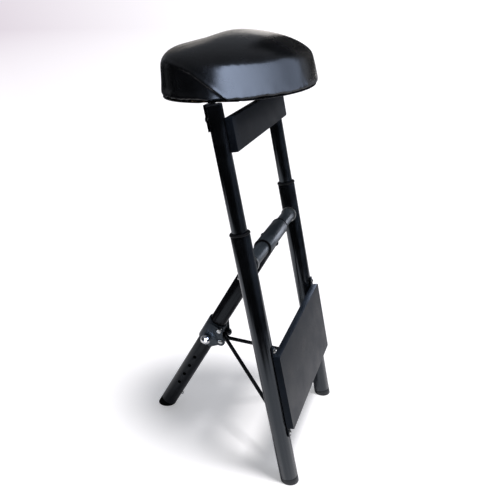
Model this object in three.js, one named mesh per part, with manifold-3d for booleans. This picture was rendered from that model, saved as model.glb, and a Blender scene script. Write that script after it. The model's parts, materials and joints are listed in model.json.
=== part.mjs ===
// A tall three-legged folding stool. Two telescoping front legs lean back side by side, tied by a
// crossbar and two folded steel plates. A rear leg turns on the crossbar. Two stays hold it out,
// from a collar that slides on it. A domed cushion on a plywood board sits on the front legs.
// Millimetres, +X to the front, +Y to the left, +Z up.

import * as THREE from "three";
import { mergeVertices } from "three/addons/utils/BufferGeometryUtils.js";
import Module from "manifold-3d";

const wasm = await Module();
wasm.setup();

// Stance
const degree = Math.PI / 180;
const frontLean = 11.8 * degree;
const rearLean = 28.3 * degree;
const legSpacing = 280; // between the axes of the two front legs
const crossbarDistance = 416; // from the floor to the crossbar, along a front leg

// Clearances and cuts
const fit = 0.3; // between pieces that touch, turn or slide
const holeSlack = 0.4; // how much wider a hole's radius is than what goes through it
const overrun = 5; // how far a cutting solid runs past what it cuts

// Fineness of round surfaces, in sides
const tubeSides = 32;
const smallSides = 16;

// Front legs: a fat lower tube and a thinner upper tube that slides in it
const lowerRadius = 16;
const lowerWall = 1.5;
const lowerTop = 474; // along the leg, from the floor
const lowerStart = 10;
const upperRadius = 12.7;
const upperWall = 1.2;
const overlapLength = 90; // length of upper tube inside the lower one
const upperTop = 677;
const bushFlange = 3;
const bushLipWidth = 1; // how far the flange stands out from the tube
const bushDepth = 18;

// Height setting: a sprung button in the upper tube, a row of holes in the lower one
const buttonRadius = 3.2;
const buttonProudHeight = 3;
const buttonFlange = 1.3;
const buttonFoot = 1.5; // thickness of the button's foot
const buttonEndDistance = 16; // from the end of the inner tube to the button
const holePitch = 25;
const holesBelow = 4;
const holesAbove = 2;
const springThickness = 0.8;
const springWidth = 8;
const springArmLength = 9; // how far the arms reach past the button

// Rubber feet: plugs with a head as wide as the tube
const footSpigotDepth = 22;
const footRoundRadius = 3;

// Crossbar, and the sleeve that the rear leg turns on
const crossbarRadius = 12.2;
const crossbarWall = 1.5;
const washerRadius = 14.8;
const washerThickness = 4;
const sleeveLength = 104;
const sleeveWall = 1.5;
const sleeveBushWall = 1.2;
const sleeveBushDepth = 14;
const sleeveFlange = 2;
const sleeveFlangeRadius = 15.8;

// Sheet steel plates in front of the legs
const sheetThickness = 1.5;
const plateCornerRadius = 4;
const plateSpreadWidth = 6; // how far a plate reaches past the leg axes
const kickBottom = 112;
const kickHeight = 144;
const kickDepth = 12;
const upperPlateSpreadWidth = 1;
const upperPlateBottom = 603;
const upperPlateHeight = 53;
const upperPlateDepth = 11;
const earWidth = 13;
const earHeight = 17;
const screwRadius = 2.5;
const screwHeadRadius = 4.6;
const screwHeadHeight = 2.8;
const screwGripLength = 4; // how far a screw reaches into the tube

// Seat
const seatLean = 5.1 * degree;
const seatDistance = 680; // along the legs to the underside of the board
const seatBackOffset = 5.6; // how far the seat's centre lies behind the leg axes
const seatHalfDepth = 126;
const seatInsetWidth = 4; // from a leg's axis in to the side of the seat
const seatPlanPower = 2.1; // 2 is an ellipse, larger is squarer
const boardThickness = 12;
const vinylWrapWidth = 7; // from the edge of the board to the outside of the cushion
const cushionWallHeight = 44;
const cushionHeight = 89;
const cushionTuckWidth = 3;
const cushionTuckHeight = 6;
const cushionTaperWidth = 5; // how far the sides lean in up to the crown
const cushionCrownPower = 1.8; // 2 is an ellipse, less is more pointed
const cushionDrawDepth = 1; // how far the sides pull in at half height, besides
const planSides = 48;
const crownRings = 9;
const wallRings = 5;

// Brackets that carry the board on the tube tops
const bracketThickness = 1.5;
const bracketOuterWidth = 6; // how far a bracket reaches past the tube's axis
const bracketTubeGap = 4; // from the side of the tube to the flange
const flangeWidth = 24;
const bracketDrop = 38; // length of the tab behind the tube
const bracketReach = 46; // length of the flange in front of the tab
const bracketBoltDrop = 20; // from the top of the tube to the bolt
const bracketBoltRadius = 3;
const bracketHeadRadius = 6;
const bracketHeadHeight = 2.6;
const boardScrewRadius = 2;
const boardScrewHeadRadius = 4;
const boardScrewHeadHeight = 2;
const boardScrewLength = 9;
const boardScrewInsetWidth = 9; // from the end of the flange to the front screw

// Rear leg; distances down it are from the crossbar's axis, distances up it from the floor
const rearRadius = 16;
const rearWall = 1.5;
const rearTopGap = 6; // how far the tube's end lies below the crossbar's axis
const rearCutHeight = 12; // from the floor to the end of the tube
const spreadHoleRadius = 3.6;
const spreadHolePitch = 25;
const spreadHoles = 4;
const firstHoleHeight = 78;
const stopPinHeight = 44; // to the stop pin on the leg's front
const stopRadius = 3.4;
const stopProudHeight = 3.5;

// Collar that slides on the rear leg, with a bracket plate on each side
const collarDistance = 214;
const collarLength = 50;
const collarWall = 2.7;
const collarLipWidth = 1;
const bracketPlateThickness = 2.2;
const plateRearDepth = 11; // from the leg's axis to the rear edge of a plate
const plateEndGap = 2; // from the collar's ends to a plate's ends
const plateFrontDepth = 15; // from the leg's axis to where the nose begins
const noseRadius = 9;
const pivotDistance = 239; // to the pin that the stays turn on
const pivotOffset = 26;
const pinRadius = 3;
const pinHeadRadius = 4.8;
const pinHeadHeight = 2.2;
const spacerWall = 2;
const plateScrewDistance = 219; // to the screws that hold the plates to the collar
const plateScrewOffset = 13;
const plateScrewRadius = 2.5;
const plateScrewHeadRadius = 4.6;
const plateScrewHeadHeight = 2.6;

// Pull knob, whose pin locks the collar on the leg
const knobDistance = 247.6;
const knobRadius = 9.5;
const knobNeckRadius = 4.5;
const knobPinRadius = 3;

// Stays, from the collar to the front legs
const stayRadius = 4;
const stayEyeRadius = 6.5;
const stayEyeThickness = 2.5;
const stayEyeOffset = 4.5; // from the stool's middle to the middle of a stay's upper eye
const stayPivotHeight = 98; // along the front leg to the stay's lower pivot
const stayEyeGap = 7; // from the tube's surface to the middle of the lower eye
const stayFlatLength = 13; // flat end before the bend
const stayRivetRadius = 2.5;
const stayRivetHeadRadius = 4.8;
const stayRivetHeadHeight = 2.2;
const studRadius = 5.2;

const finish = {
  frame: { color: 0x15171b, roughness: 0.38, metalness: 0.3 },
  plate: { color: 0x2b3138, roughness: 0.55, metalness: 0.3 },
  vinyl: { color: 0x16181c, roughness: 0.42, metalness: 0 },
  board: { color: 0xa98658, roughness: 0.8, metalness: 0 },
  plastic: { color: 0x101113, roughness: 0.6, metalness: 0 },
  rubber: { color: 0x1b1c1e, roughness: 0.85, metalness: 0 },
  zinc: { color: 0xc4c7ca, roughness: 0.35, metalness: 1 },
  chrome: { color: 0xe4e6e8, roughness: 0.12, metalness: 1 },
  spring: { color: 0x8f949a, roughness: 0.4, metalness: 1 },
};

// Solids

/** Turns a closed geometry into a solid, with its faces turned outwards. */
function solid(geometry) {
  let bare = geometry.clone();
  bare.deleteAttribute("normal");
  bare.deleteAttribute("uv");
  bare = mergeVertices(bare, 1e-4);
  const places = bare.attributes.position.array;
  const corners = bare.index.array;
  const triangles = [];
  let volume = 0;
  for (let i = 0; i < corners.length; i += 3) {
    const [a, b, c] = [corners[i], corners[i + 1], corners[i + 2]];
    if (a === b || b === c || c === a) continue;
    triangles.push(a, b, c);
    const [p, q, r] = [a, b, c].map((k) => new THREE.Vector3().fromArray(places, 3 * k));
    volume += p.dot(q.cross(r));
  }
  if (volume < 0) triangles.reverse();
  return new wasm.Manifold(
    new wasm.Mesh({
      numProp: 3,
      vertProperties: Float32Array.from(places),
      triVerts: Uint32Array.from(triangles),
    }),
  );
}

/** The geometry of a solid. */
function geometryOf(body) {
  const mesh = body.getMesh();
  const geometry = new THREE.BufferGeometry();
  geometry.setAttribute("position", new THREE.BufferAttribute(mesh.vertProperties, 3));
  geometry.setIndex(new THREE.BufferAttribute(mesh.triVerts, 1));
  geometry.computeVertexNormals();
  return geometry;
}

const cut = (body, ...tools) => tools.reduce((left, tool) => left.subtract(tool), body);
const join = (...bodies) => bodies.reduce((all, body) => all.add(body));
const at = (x, y, z) => new THREE.Vector3(x, y, z);

/** A solid turned round the Z axis from a profile of [radius, height] points. */
function turned(profile, sides = tubeSides) {
  const points = profile.map(([radius, height]) => new THREE.Vector2(radius, height));
  return solid(new THREE.LatheGeometry(points, sides).rotateX(Math.PI / 2));
}

/** The closed profile of a ring or tube. */
const ring = (inner, outer, low, high) => [
  [inner, low],
  [outer, low],
  [outer, high],
  [inner, high],
  [inner, low],
];

/** Moves a solid that stands on the origin along +Z so that it starts at a point and heads a way. */
function aimed(body, from, heading) {
  const turn = new THREE.Quaternion().setFromUnitVectors(at(0, 0, 1), heading.clone().normalize());
  return body.transform(new THREE.Matrix4().compose(from, turn, at(1, 1, 1)).elements);
}

/** A round bar between two points. */
function bar(radius, from, to, sides = smallSides) {
  const length = from.distanceTo(to);
  const rod = turned([[0, 0], [radius, 0], [radius, length], [0, length]], sides);
  return aimed(rod, from, to.clone().sub(from));
}

/** A flat shape raised along +Z, then laid so that its first axis and its normal point given ways. */
function raised(shape, height, first, normal, origin) {
  const flat = new THREE.ExtrudeGeometry(shape, { depth: height, bevelEnabled: false, curveSegments: 5 });
  const second = normal.clone().cross(first);
  return solid(flat.applyMatrix4(new THREE.Matrix4().makeBasis(first, second, normal).setPosition(origin)));
}

/** A rectangle with round corners, centred on the origin. */
function roundedRectangle(width, height, radius) {
  const shape = new THREE.Shape();
  const [x, y] = [width / 2, height / 2];
  shape.moveTo(x - radius, y);
  shape.absarc(-x + radius, y - radius, radius, Math.PI / 2, Math.PI, false);
  shape.absarc(-x + radius, -y + radius, radius, Math.PI, 1.5 * Math.PI, false);
  shape.absarc(x - radius, -y + radius, radius, 1.5 * Math.PI, 2 * Math.PI, false);
  shape.absarc(x - radius, y - radius, radius, 0, Math.PI / 2, false);
  return shape;
}

/** A closed skin over rings that have the same number of points, with a flat end at each. */
function lofted(rings) {
  const sides = rings[0].length;
  const middle = (points) => points.reduce((sum, p) => sum.add(p), at(0, 0, 0)).divideScalar(sides);
  const last = rings.length - 1;
  const points = [...rings.flat(), middle(rings[0]), middle(rings[last])];
  const [start, end] = [points.length - 2, points.length - 1];
  const triangles = [];
  for (let side = 0; side < sides; side++) {
    const next = (side + 1) % sides;
    triangles.push(start, next, side, end, last * sides + side, last * sides + next);
    for (let row = 0; row < last; row++) {
      const [low, high] = [row * sides, (row + 1) * sides];
      triangles.push(low + side, low + next, high + next, low + side, high + next, high + side);
    }
  }
  const geometry = new THREE.BufferGeometry().setFromPoints(points);
  geometry.setIndex(triangles);
  return solid(geometry);
}

/** A named mesh of a solid. */
function piece(name, body, look) {
  const mesh = new THREE.Mesh(geometryOf(body), new THREE.MeshStandardMaterial(finish[look]));
  mesh.name = name;
  return mesh;
}

const forward = at(1, 0, 0);
const left = at(0, 1, 0);
const up = at(0, 0, 1);
const towardRight = at(0, -1, 0);
const backward = at(-1, 0, 0);
const sides = [
  { name: "right", sign: -1 },
  { name: "left", sign: 1 },
];

// The front legs' frame: X out of the legs' plane to the front, Z up along the legs from the floor.
const frontLegs = new THREE.Group();
frontLegs.rotation.y = -frontLean;

const halfSpacing = legSpacing / 2;
const upperStart = lowerTop - overlapLength;
const buttonAlong = upperStart + buttonEndDistance;
const buttonHoleRadius = buttonRadius + holeSlack;
const screwsAlong = [kickBottom - earHeight / 2, kickBottom + kickHeight + earHeight / 2];

/** What lies below the floor, in the frame of a leg that leans by an angle. */
function belowFloor(lean, size) {
  const block = new THREE.BoxGeometry(size, size, size).translate(0, 0, -size / 2);
  return solid(block.rotateY(lean));
}

/** A rubber plug in a tube's end, its head trimmed flat where it meets the floor. */
function rubberFoot(tubeRadius, tubeWall, tubeEnd, lean) {
  const spigot = tubeRadius - tubeWall - fit;
  const low = -(tubeRadius * Math.tan(Math.abs(lean)) + footRoundRadius);
  const plug = turned([
    [0, low],
    [tubeRadius - footRoundRadius, low],
    [tubeRadius - footRoundRadius * (1 - Math.SQRT1_2), low + footRoundRadius * (1 - Math.SQRT1_2)],
    [tubeRadius, low + footRoundRadius],
    [tubeRadius, tubeEnd - fit],
    [spigot, tubeEnd - fit],
    [spigot, tubeEnd + footSpigotDepth - footRoundRadius],
    [spigot - footRoundRadius, tubeEnd + footSpigotDepth],
    [0, tubeEnd + footSpigotDepth],
  ]);
  return cut(plug, belowFloor(lean, 4 * tubeRadius));
}

/** A sprung button that points along -X, its tip standing proud of the outer tube. */
function snapButton() {
  const bore = upperRadius - upperWall;
  const inside = Math.sqrt(bore ** 2 - (buttonRadius + buttonFlange) ** 2) - fit;
  const tip = lowerRadius + buttonProudHeight;
  const round = buttonRadius / 2;
  const body = turned(
    [
      [0, inside - buttonFoot],
      [buttonRadius + buttonFlange, inside - buttonFoot],
      [buttonRadius + buttonFlange, inside],
      [buttonRadius, inside],
      [buttonRadius, tip - round],
      [buttonRadius - round * (1 - Math.SQRT1_2), tip - round * (1 - Math.SQRT1_2)],
      [buttonRadius - round, tip],
      [0, tip],
    ],
    smallSides,
  );
  return aimed(body, at(0, 0, 0), backward);
}

/** The bent leaf behind a button: one arm under its foot, one against the far wall. */
function leafSpring() {
  const bore = upperRadius - upperWall;
  const seatOfFoot = Math.sqrt(bore ** 2 - (buttonRadius + buttonFlange) ** 2) - 2 * fit - buttonFoot;
  const farArm = Math.sqrt(bore ** 2 - (springWidth / 2) ** 2) - fit;
  const radius = (seatOfFoot + farArm) / 2;
  const middle = (farArm - seatOfFoot) / 2;
  const bend = -(buttonEndDistance - radius) + fit;
  const shape = new THREE.Shape();
  shape.moveTo(middle - radius, springArmLength);
  shape.lineTo(middle - radius, bend);
  shape.absarc(middle, bend, radius, Math.PI, 2 * Math.PI, false);
  shape.lineTo(middle + radius, springArmLength);
  shape.lineTo(middle + radius - springThickness, springArmLength);
  shape.lineTo(middle + radius - springThickness, bend);
  shape.absarc(middle, bend, radius - springThickness, 2 * Math.PI, Math.PI, true);
  shape.lineTo(middle - radius + springThickness, springArmLength);
  return raised(shape, springWidth, forward, towardRight, at(0, springWidth / 2, 0));
}

/** A pan-headed screw that enters along -X, with the underside of its head at x = 0. */
function panScrew() {
  const body = turned(
    [
      [0, -screwHeadHeight],
      [screwHeadRadius / 2, -screwHeadHeight],
      [screwHeadRadius, -screwHeadHeight / 3],
      [screwHeadRadius, 0],
      [screwRadius, 0],
      [screwRadius, screwGripLength],
      [0, screwGripLength],
    ],
    smallSides,
  );
  return aimed(body, at(0, 0, 0), backward);
}

/** A shallow pan of folded sheet, open to the rear, with its flanges' edges at a distance in front. */
function foldedPan(width, low, height, depth, back) {
  const centre = at(back, 0, low + height / 2);
  const outside = raised(roundedRectangle(width, height, plateCornerRadius), depth, left, forward, centre);
  const [hollowWidth, hollowHeight] = [width - 2 * sheetThickness, height - 2 * sheetThickness];
  const hollow = roundedRectangle(hollowWidth, hollowHeight, plateCornerRadius - sheetThickness);
  const start = centre.clone().setX(back - overrun);
  return cut(outside, raised(hollow, depth - sheetThickness + overrun, left, forward, start));
}

// Lower tubes, bushes, feet and the pivots of the stays
const stayEye = halfSpacing - lowerRadius - stayEyeGap;
for (const { name, sign } of sides) {
  const axis = sign * halfSpacing;
  const inner = lowerRadius - lowerWall;
  const holes = [];
  for (let step = -holesBelow; step <= holesAbove; step++) {
    const along = buttonAlong + step * holePitch;
    holes.push(bar(buttonHoleRadius, at(0, 0, along), at(-lowerRadius - overrun, 0, along)));
  }
  for (const along of screwsAlong) {
    holes.push(bar(screwRadius + fit, at(0, 0, along), at(lowerRadius + overrun, 0, along)));
  }
  const studHole = at(0, -sign * (lowerRadius + overrun), stayPivotHeight);
  holes.push(bar(stayRivetRadius + fit, at(0, 0, stayPivotHeight), studHole));
  const tube = cut(turned(ring(inner, lowerRadius, lowerStart, lowerTop)), ...holes);

  const bushInner = upperRadius + fit;
  const bushOuter = inner - fit;
  const bush = turned([
    [bushInner, lowerTop - bushDepth],
    [bushOuter, lowerTop - bushDepth],
    [bushOuter, lowerTop + fit],
    [lowerRadius + bushLipWidth, lowerTop + fit],
    [lowerRadius + bushLipWidth, lowerTop + fit + bushFlange / 2],
    [lowerRadius, lowerTop + fit + bushFlange],
    [bushInner, lowerTop + fit + bushFlange],
    [bushInner, lowerTop - bushDepth],
  ]);
  const foot = rubberFoot(lowerRadius, lowerWall, lowerStart, frontLean);
  for (const [label, body, look] of [
    [`${name}_lower_tube`, tube, "frame"],
    [`${name}_leg_bush`, bush, "plastic"],
    [`${name}_front_foot`, foot, "rubber"],
  ]) {
    const mesh = piece(label, body, look);
    mesh.position.y = axis;
    frontLegs.add(mesh);
  }

  // Stud on the inner side of the tube, which the stay turns against
  const face = at(0, sign * (stayEye + stayEyeThickness / 2 + fit), stayPivotHeight);
  const into = at(0, axis, stayPivotHeight);
  const seatOfTube = bar(lowerRadius + fit, at(0, axis, 0), at(0, axis, lowerTop), tubeSides);
  const shankEnd = at(0, sign * (halfSpacing - lowerRadius + screwGripLength), stayPivotHeight);
  const boss = cut(bar(studRadius, face, into), seatOfTube);
  frontLegs.add(piece(`${name}_stay_stud`, join(boss, bar(stayRivetRadius, face, shankEnd)), "frame"));
}

// Crossbar, its ends cut to the shape of the legs
const crossbarReach = halfSpacing;
const crossbarHollow = crossbarRadius - crossbarWall;
const crossbarTube = aimed(
  turned(ring(crossbarHollow, crossbarRadius, 0, 2 * crossbarReach)),
  at(0, -crossbarReach, crossbarDistance),
  left,
);
const legCopes = sides.map(({ sign }) =>
  bar(lowerRadius + fit, at(0, sign * halfSpacing, 0), at(0, sign * halfSpacing, lowerTop), tubeSides),
);
frontLegs.add(piece("crossbar", cut(crossbarTube, ...legCopes), "frame"));
for (const { name, sign } of sides) {
  const outerFace = halfSpacing - lowerRadius - fit;
  const washer = turned(
    ring(crossbarRadius + fit, washerRadius, outerFace - washerThickness, outerFace),
  );
  const seated = aimed(washer, at(0, 0, crossbarDistance), at(0, sign, 0));
  frontLegs.add(piece(`${name}_crossbar_washer`, seated, "zinc"));
}

// Kick plate: a shallow pan screwed to the fronts of the lower tubes by four ears
const kickBack = lowerRadius + fit;
const kickWidth = legSpacing + 2 * plateSpreadWidth;
const kickEars = [];
const earHoles = [];
for (const { sign } of sides) {
  for (const along of screwsAlong) {
    const outline = roundedRectangle(earWidth, earHeight + 2 * sheetThickness, plateCornerRadius);
    const inward = along < kickBottom ? sheetThickness : -sheetThickness;
    const centre = at(kickBack, sign * halfSpacing, along + inward);
    kickEars.push(raised(outline, sheetThickness, left, forward, centre));
    const start = at(kickBack - overrun, sign * halfSpacing, along);
    earHoles.push(bar(screwRadius + holeSlack, start, at(kickBack + overrun, sign * halfSpacing, along)));
  }
}
const kickPan = foldedPan(kickWidth, kickBottom, kickHeight, kickDepth, kickBack);
frontLegs.add(piece("kick_plate", cut(join(kickPan, ...kickEars), ...earHoles), "plate"));
for (const { name, sign } of sides) {
  screwsAlong.forEach((along, index) => {
    const screw = piece(`kick_screw_${name}_${index === 0 ? "low" : "high"}`, panScrew(), "zinc");
    screw.position.set(kickBack + sheetThickness + fit, sign * halfSpacing, along);
    frontLegs.add(screw);
  });
}

// Upper tubes, which slide in the lower ones and carry the seat
for (const { name, sign } of sides) {
  const axis = sign * halfSpacing;
  const boltAlong = upperTop - bracketBoltDrop;
  const rear = -upperRadius - overrun;
  const tube = cut(
    turned(ring(upperRadius - upperWall, upperRadius, upperStart, upperTop)),
    bar(buttonHoleRadius, at(0, 0, buttonAlong), at(rear, 0, buttonAlong)),
    bar(bracketBoltRadius + fit, at(0, 0, boltAlong), at(rear, 0, boltAlong)),
  );
  const mesh = piece(`${name}_upper_tube`, tube, "frame");
  mesh.position.y = axis;
  const button = piece(`${name}_height_button`, snapButton(), "zinc");
  button.position.set(0, axis, buttonAlong);
  const leaf = piece(`${name}_button_spring`, leafSpring(), "spring");
  leaf.position.set(0, axis, buttonAlong);
  frontLegs.add(mesh, button, leaf);
}

const upperPlateWidth = legSpacing + 2 * upperPlateSpreadWidth;
const upperPlateBack = upperRadius + fit;
frontLegs.add(
  piece(
    "upper_plate",
    foldedPan(upperPlateWidth, upperPlateBottom, upperPlateHeight, upperPlateDepth, upperPlateBack),
    "plate",
  ),
);

// The seat's frame: origin on the underside of the board, Z out of the board.
const seat = new THREE.Group();
seat.position.set(-seatBackOffset, 0, seatDistance);
seat.rotation.y = frontLean - seatLean;
frontLegs.add(seat);
const seatTilt = frontLean - seatLean;
const seatHalfWidth = halfSpacing - seatInsetWidth;

/** A point of the seat's rounded outline, drawn in by an inset. */
function planPoint(angle, inset, height) {
  const [c, s] = [Math.cos(angle), Math.sin(angle)];
  const power = 2 / seatPlanPower;
  const x = (seatHalfDepth - inset) * Math.sign(c) * Math.abs(c) ** power;
  const y = (seatHalfWidth - inset) * Math.sign(s) * Math.abs(s) ** power;
  return at(x, y, height);
}

/** One ring of points round the seat. */
function planRing(inset, height) {
  const points = [];
  for (let side = 0; side < planSides; side++) {
    points.push(planPoint((2 * Math.PI * side) / planSides, inset, height));
  }
  return points;
}

// Brackets: a tab bolted behind each tube, and a flange beside the tube's top under the board
const flangeTop = -fit;
const tabFront = -(upperRadius + fit);
const bracketHoles = [];
for (const { name, sign } of sides) {
  // Outline of the bracket from the side, in the seat's frame
  const slope = Math.tan(seatTilt);
  const legPoint = (x, along) => {
    const dx = x + seatBackOffset;
    const dz = along - seatDistance;
    return [
      dx * Math.cos(seatTilt) - dz * Math.sin(seatTilt),
      dx * Math.sin(seatTilt) + dz * Math.cos(seatTilt),
    ];
  };
  const tabLow = upperTop - bracketDrop;
  const [frontLowX, frontLowZ] = legPoint(tabFront, tabLow);
  const [rearLowX, rearLowZ] = legPoint(tabFront - bracketThickness, tabLow);
  const under = flangeTop - bracketThickness;
  const frontTopX = frontLowX - (under - frontLowZ) * slope;
  const rearTopX = rearLowX - (flangeTop - rearLowZ) * slope;
  const flangeEnd = frontTopX + bracketReach;
  const outer = sign * (halfSpacing + bracketOuterWidth);
  const flangeOuter = sign * (halfSpacing - upperRadius - bracketTubeGap);
  const inner = flangeOuter - sign * flangeWidth;
  const strip = (outline, ends) => {
    const width = Math.abs(ends[0] - ends[1]);
    return raised(outline, width, forward, towardRight, at(0, Math.max(...ends), 0));
  };
  const tab = new THREE.Shape([
    new THREE.Vector2(rearLowX, rearLowZ),
    new THREE.Vector2(frontLowX, frontLowZ),
    new THREE.Vector2(frontTopX, under),
    new THREE.Vector2(rearTopX + bracketThickness * slope, under),
  ]);
  const flange = new THREE.Shape([
    new THREE.Vector2(rearTopX + bracketThickness * slope, under),
    new THREE.Vector2(frontTopX, under),
    new THREE.Vector2(flangeEnd, under),
    new THREE.Vector2(flangeEnd, flangeTop),
    new THREE.Vector2(rearTopX, flangeTop),
  ]);
  let bracket = join(strip(tab, [outer, inner]), strip(flange, [flangeOuter, inner]));
  const boltAlong = upperTop - bracketBoltDrop;
  const [boltX, boltZ] = legPoint(tabFront - bracketThickness, boltAlong);
  const into = at(Math.cos(seatTilt), 0, Math.sin(seatTilt));
  const boltAt = at(boltX, sign * halfSpacing, boltZ);
  const holeStart = boltAt.clone().addScaledVector(into, -overrun);
  const holeEnd = boltAt.clone().addScaledVector(into, bracketThickness + overrun);
  bracket = cut(bracket, bar(bracketBoltRadius + holeSlack, holeStart, holeEnd));
  const reach = bracketThickness + 2 * fit + upperWall + screwGripLength;
  const bolt = turned(
    [
      [0, -bracketHeadHeight],
      [bracketHeadRadius / 2, -bracketHeadHeight],
      [bracketHeadRadius, -bracketHeadHeight / 3],
      [bracketHeadRadius, 0],
      [bracketBoltRadius, 0],
      [bracketBoltRadius, reach],
      [0, reach],
    ],
    smallSides,
  );
  const seated = boltAt.clone().addScaledVector(into, -fit);
  seat.add(piece(`${name}_bracket_bolt`, aimed(bolt, seated, into), "zinc"));

  // Wood screws near the flange's inner edge
  const y = inner + sign * boardScrewInsetWidth;
  const screwPlaces = [
    { label: "front", x: flangeEnd - boardScrewInsetWidth },
    { label: "rear", x: frontTopX + boardScrewInsetWidth },
  ];
  for (const { label, x } of screwPlaces) {
    const low = under - fit - boardScrewHeadHeight;
    const hole = bar(boardScrewRadius + holeSlack, at(x, y, under - overrun), at(x, y, overrun));
    bracket = cut(bracket, hole);
    const tip = boardScrewLength;
    const screw = turned(
      [
        [0, 0],
        [boardScrewHeadRadius / 2, 0],
        [boardScrewHeadRadius, boardScrewHeadHeight / 2],
        [boardScrewHeadRadius, boardScrewHeadHeight],
        [boardScrewRadius, boardScrewHeadHeight],
        [boardScrewRadius, tip - low - boardScrewRadius],
        [0, tip - low],
      ],
      smallSides / 2,
    );
    seat.add(piece(`board_screw_${name}_${label}`, aimed(screw, at(x, y, low), up), "zinc"));
    bracketHoles.push(bar(boardScrewRadius + fit, at(x, y, -overrun), at(x, y, tip + fit)));
  }
  seat.add(piece(`${name}_seat_bracket`, bracket, "frame"));
}

// Board and cushion
const boardOutline = lofted([planRing(vinylWrapWidth, 0), planRing(vinylWrapWidth, boardThickness)]);
seat.add(piece("seat_board", cut(boardOutline, ...bracketHoles), "board"));

const cushionRings = [planRing(cushionTuckWidth, 0)];
for (let row = 0; row <= wallRings; row++) {
  const share = row / wallRings;
  const height = cushionTuckHeight + (cushionWallHeight - cushionTuckHeight) * share;
  const inset = cushionTaperWidth * share + cushionDrawDepth * Math.sin(Math.PI * share);
  cushionRings.push(planRing(inset, height));
}
for (let row = 1; row < crownRings; row++) {
  const angle = (Math.PI / 2) * (row / crownRings);
  const spread = Math.cos(angle) ** (2 / cushionCrownPower);
  const rise = Math.sin(angle) ** (2 / cushionCrownPower);
  const height = cushionWallHeight + (cushionHeight - cushionWallHeight) * rise;
  const full = planRing(cushionTaperWidth, height);
  cushionRings.push(full.map((p) => at(p.x * spread, p.y * spread, height)));
}
const pocket = lofted([
  planRing(vinylWrapWidth - fit, -overrun),
  planRing(vinylWrapWidth - fit, boardThickness + fit),
]);
seat.add(piece("seat_cushion", cut(lofted(cushionRings), pocket), "vinyl"));

// The rear leg's frame: origin on the crossbar's axis, Z up along the leg, X to the front.
const rearLeg = new THREE.Group();
rearLeg.position.set(0, 0, crossbarDistance);
rearLeg.rotation.y = frontLean + rearLean;
frontLegs.add(rearLeg);
const rearLength = (crossbarDistance * Math.cos(frontLean)) / Math.cos(rearLean);

const bushInnerRadius = crossbarRadius + fit;
const sleeveInner = bushInnerRadius + sleeveBushWall + fit;
const sleeveOuter = sleeveInner + sleeveWall;
const sleeve = turned(ring(sleeveInner, sleeveOuter, 0, sleeveLength));
rearLeg.add(piece("hinge_sleeve", aimed(sleeve, at(0, -sleeveLength / 2, 0), left), "frame"));
for (const { name, sign } of sides) {
  const end = sleeveLength / 2;
  const bush = turned([
    [bushInnerRadius, end - sleeveBushDepth],
    [bushInnerRadius + sleeveBushWall, end - sleeveBushDepth],
    [bushInnerRadius + sleeveBushWall, end + fit],
    [sleeveFlangeRadius, end + fit],
    [sleeveFlangeRadius, end + fit + sleeveFlange],
    [bushInnerRadius, end + fit + sleeveFlange],
    [bushInnerRadius, end - sleeveBushDepth],
  ]);
  rearLeg.add(piece(`${name}_sleeve_bush`, aimed(bush, at(0, 0, 0), at(0, sign, 0)), "plastic"));
}

// The tube is shaped to the sleeve at its top and has a row of holes on its right
const rearHollow = rearRadius - rearWall;
const rearDrills = [];
for (let step = 0; step < spreadHoles; step++) {
  const height = firstHoleHeight + step * spreadHolePitch - rearLength;
  rearDrills.push(bar(spreadHoleRadius, at(0, 0, height), at(0, -rearRadius - overrun, height)));
}
const pinHoleEnd = at(0, -rearRadius - overrun, -knobDistance);
rearDrills.push(bar(spreadHoleRadius, at(0, 0, -knobDistance), pinHoleEnd));
const stopHeight = stopPinHeight - rearLength;
rearDrills.push(bar(stopRadius + fit, at(0, 0, stopHeight), at(rearRadius + overrun, 0, stopHeight)));
const saddle = bar(
  sleeveOuter + fit,
  at(0, -rearRadius - overrun, 0),
  at(0, rearRadius + overrun, 0),
  tubeSides,
);
const rearTube = turned(ring(rearHollow, rearRadius, rearCutHeight - rearLength, -rearTopGap));
rearLeg.add(piece("rear_tube", cut(rearTube, saddle, ...rearDrills), "frame"));

const rearFoot = piece("rear_foot", rubberFoot(rearRadius, rearWall, rearCutHeight, -rearLean), "rubber");
rearFoot.position.z = -rearLength;
rearLeg.add(rearFoot);

const stopPin = turned(
  [
    [0, rearHollow - fit],
    [stopRadius, rearHollow - fit],
    [stopRadius, rearRadius + stopProudHeight - stopRadius / 2],
    [stopRadius / 2, rearRadius + stopProudHeight],
    [0, rearRadius + stopProudHeight],
  ],
  smallSides,
);
rearLeg.add(piece("rear_stop_pin", aimed(stopPin, at(0, 0, stopHeight), forward), "zinc"));

// Collar
const collarInner = rearRadius + fit;
const collarOuter = collarInner + collarWall;
const collarBody = turned([
  [collarInner, -collarDistance - collarLength],
  [collarOuter - collarLipWidth, -collarDistance - collarLength],
  [collarOuter, -collarDistance - collarLength + collarLipWidth],
  [collarOuter, -collarDistance - collarLipWidth],
  [collarOuter - collarLipWidth, -collarDistance],
  [collarInner, -collarDistance],
  [collarInner, -collarDistance - collarLength],
]);
const plateSide = collarOuter + fit;
const plateOutside = plateSide + bracketPlateThickness;
const farOut = at(0, plateOutside + overrun, 0);
const through = (radius, x, down) =>
  bar(radius, at(x, 0, -down).sub(farOut), at(x, 0, -down).add(farOut));
const knobBore = bar(knobPinRadius + fit, at(0, 0, -knobDistance), at(0, 0, -knobDistance).sub(farOut));
const screwBore = through(plateScrewRadius + fit, plateScrewOffset, plateScrewDistance);
rearLeg.add(piece("slide_collar", cut(collarBody, knobBore, screwBore), "frame"));

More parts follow.
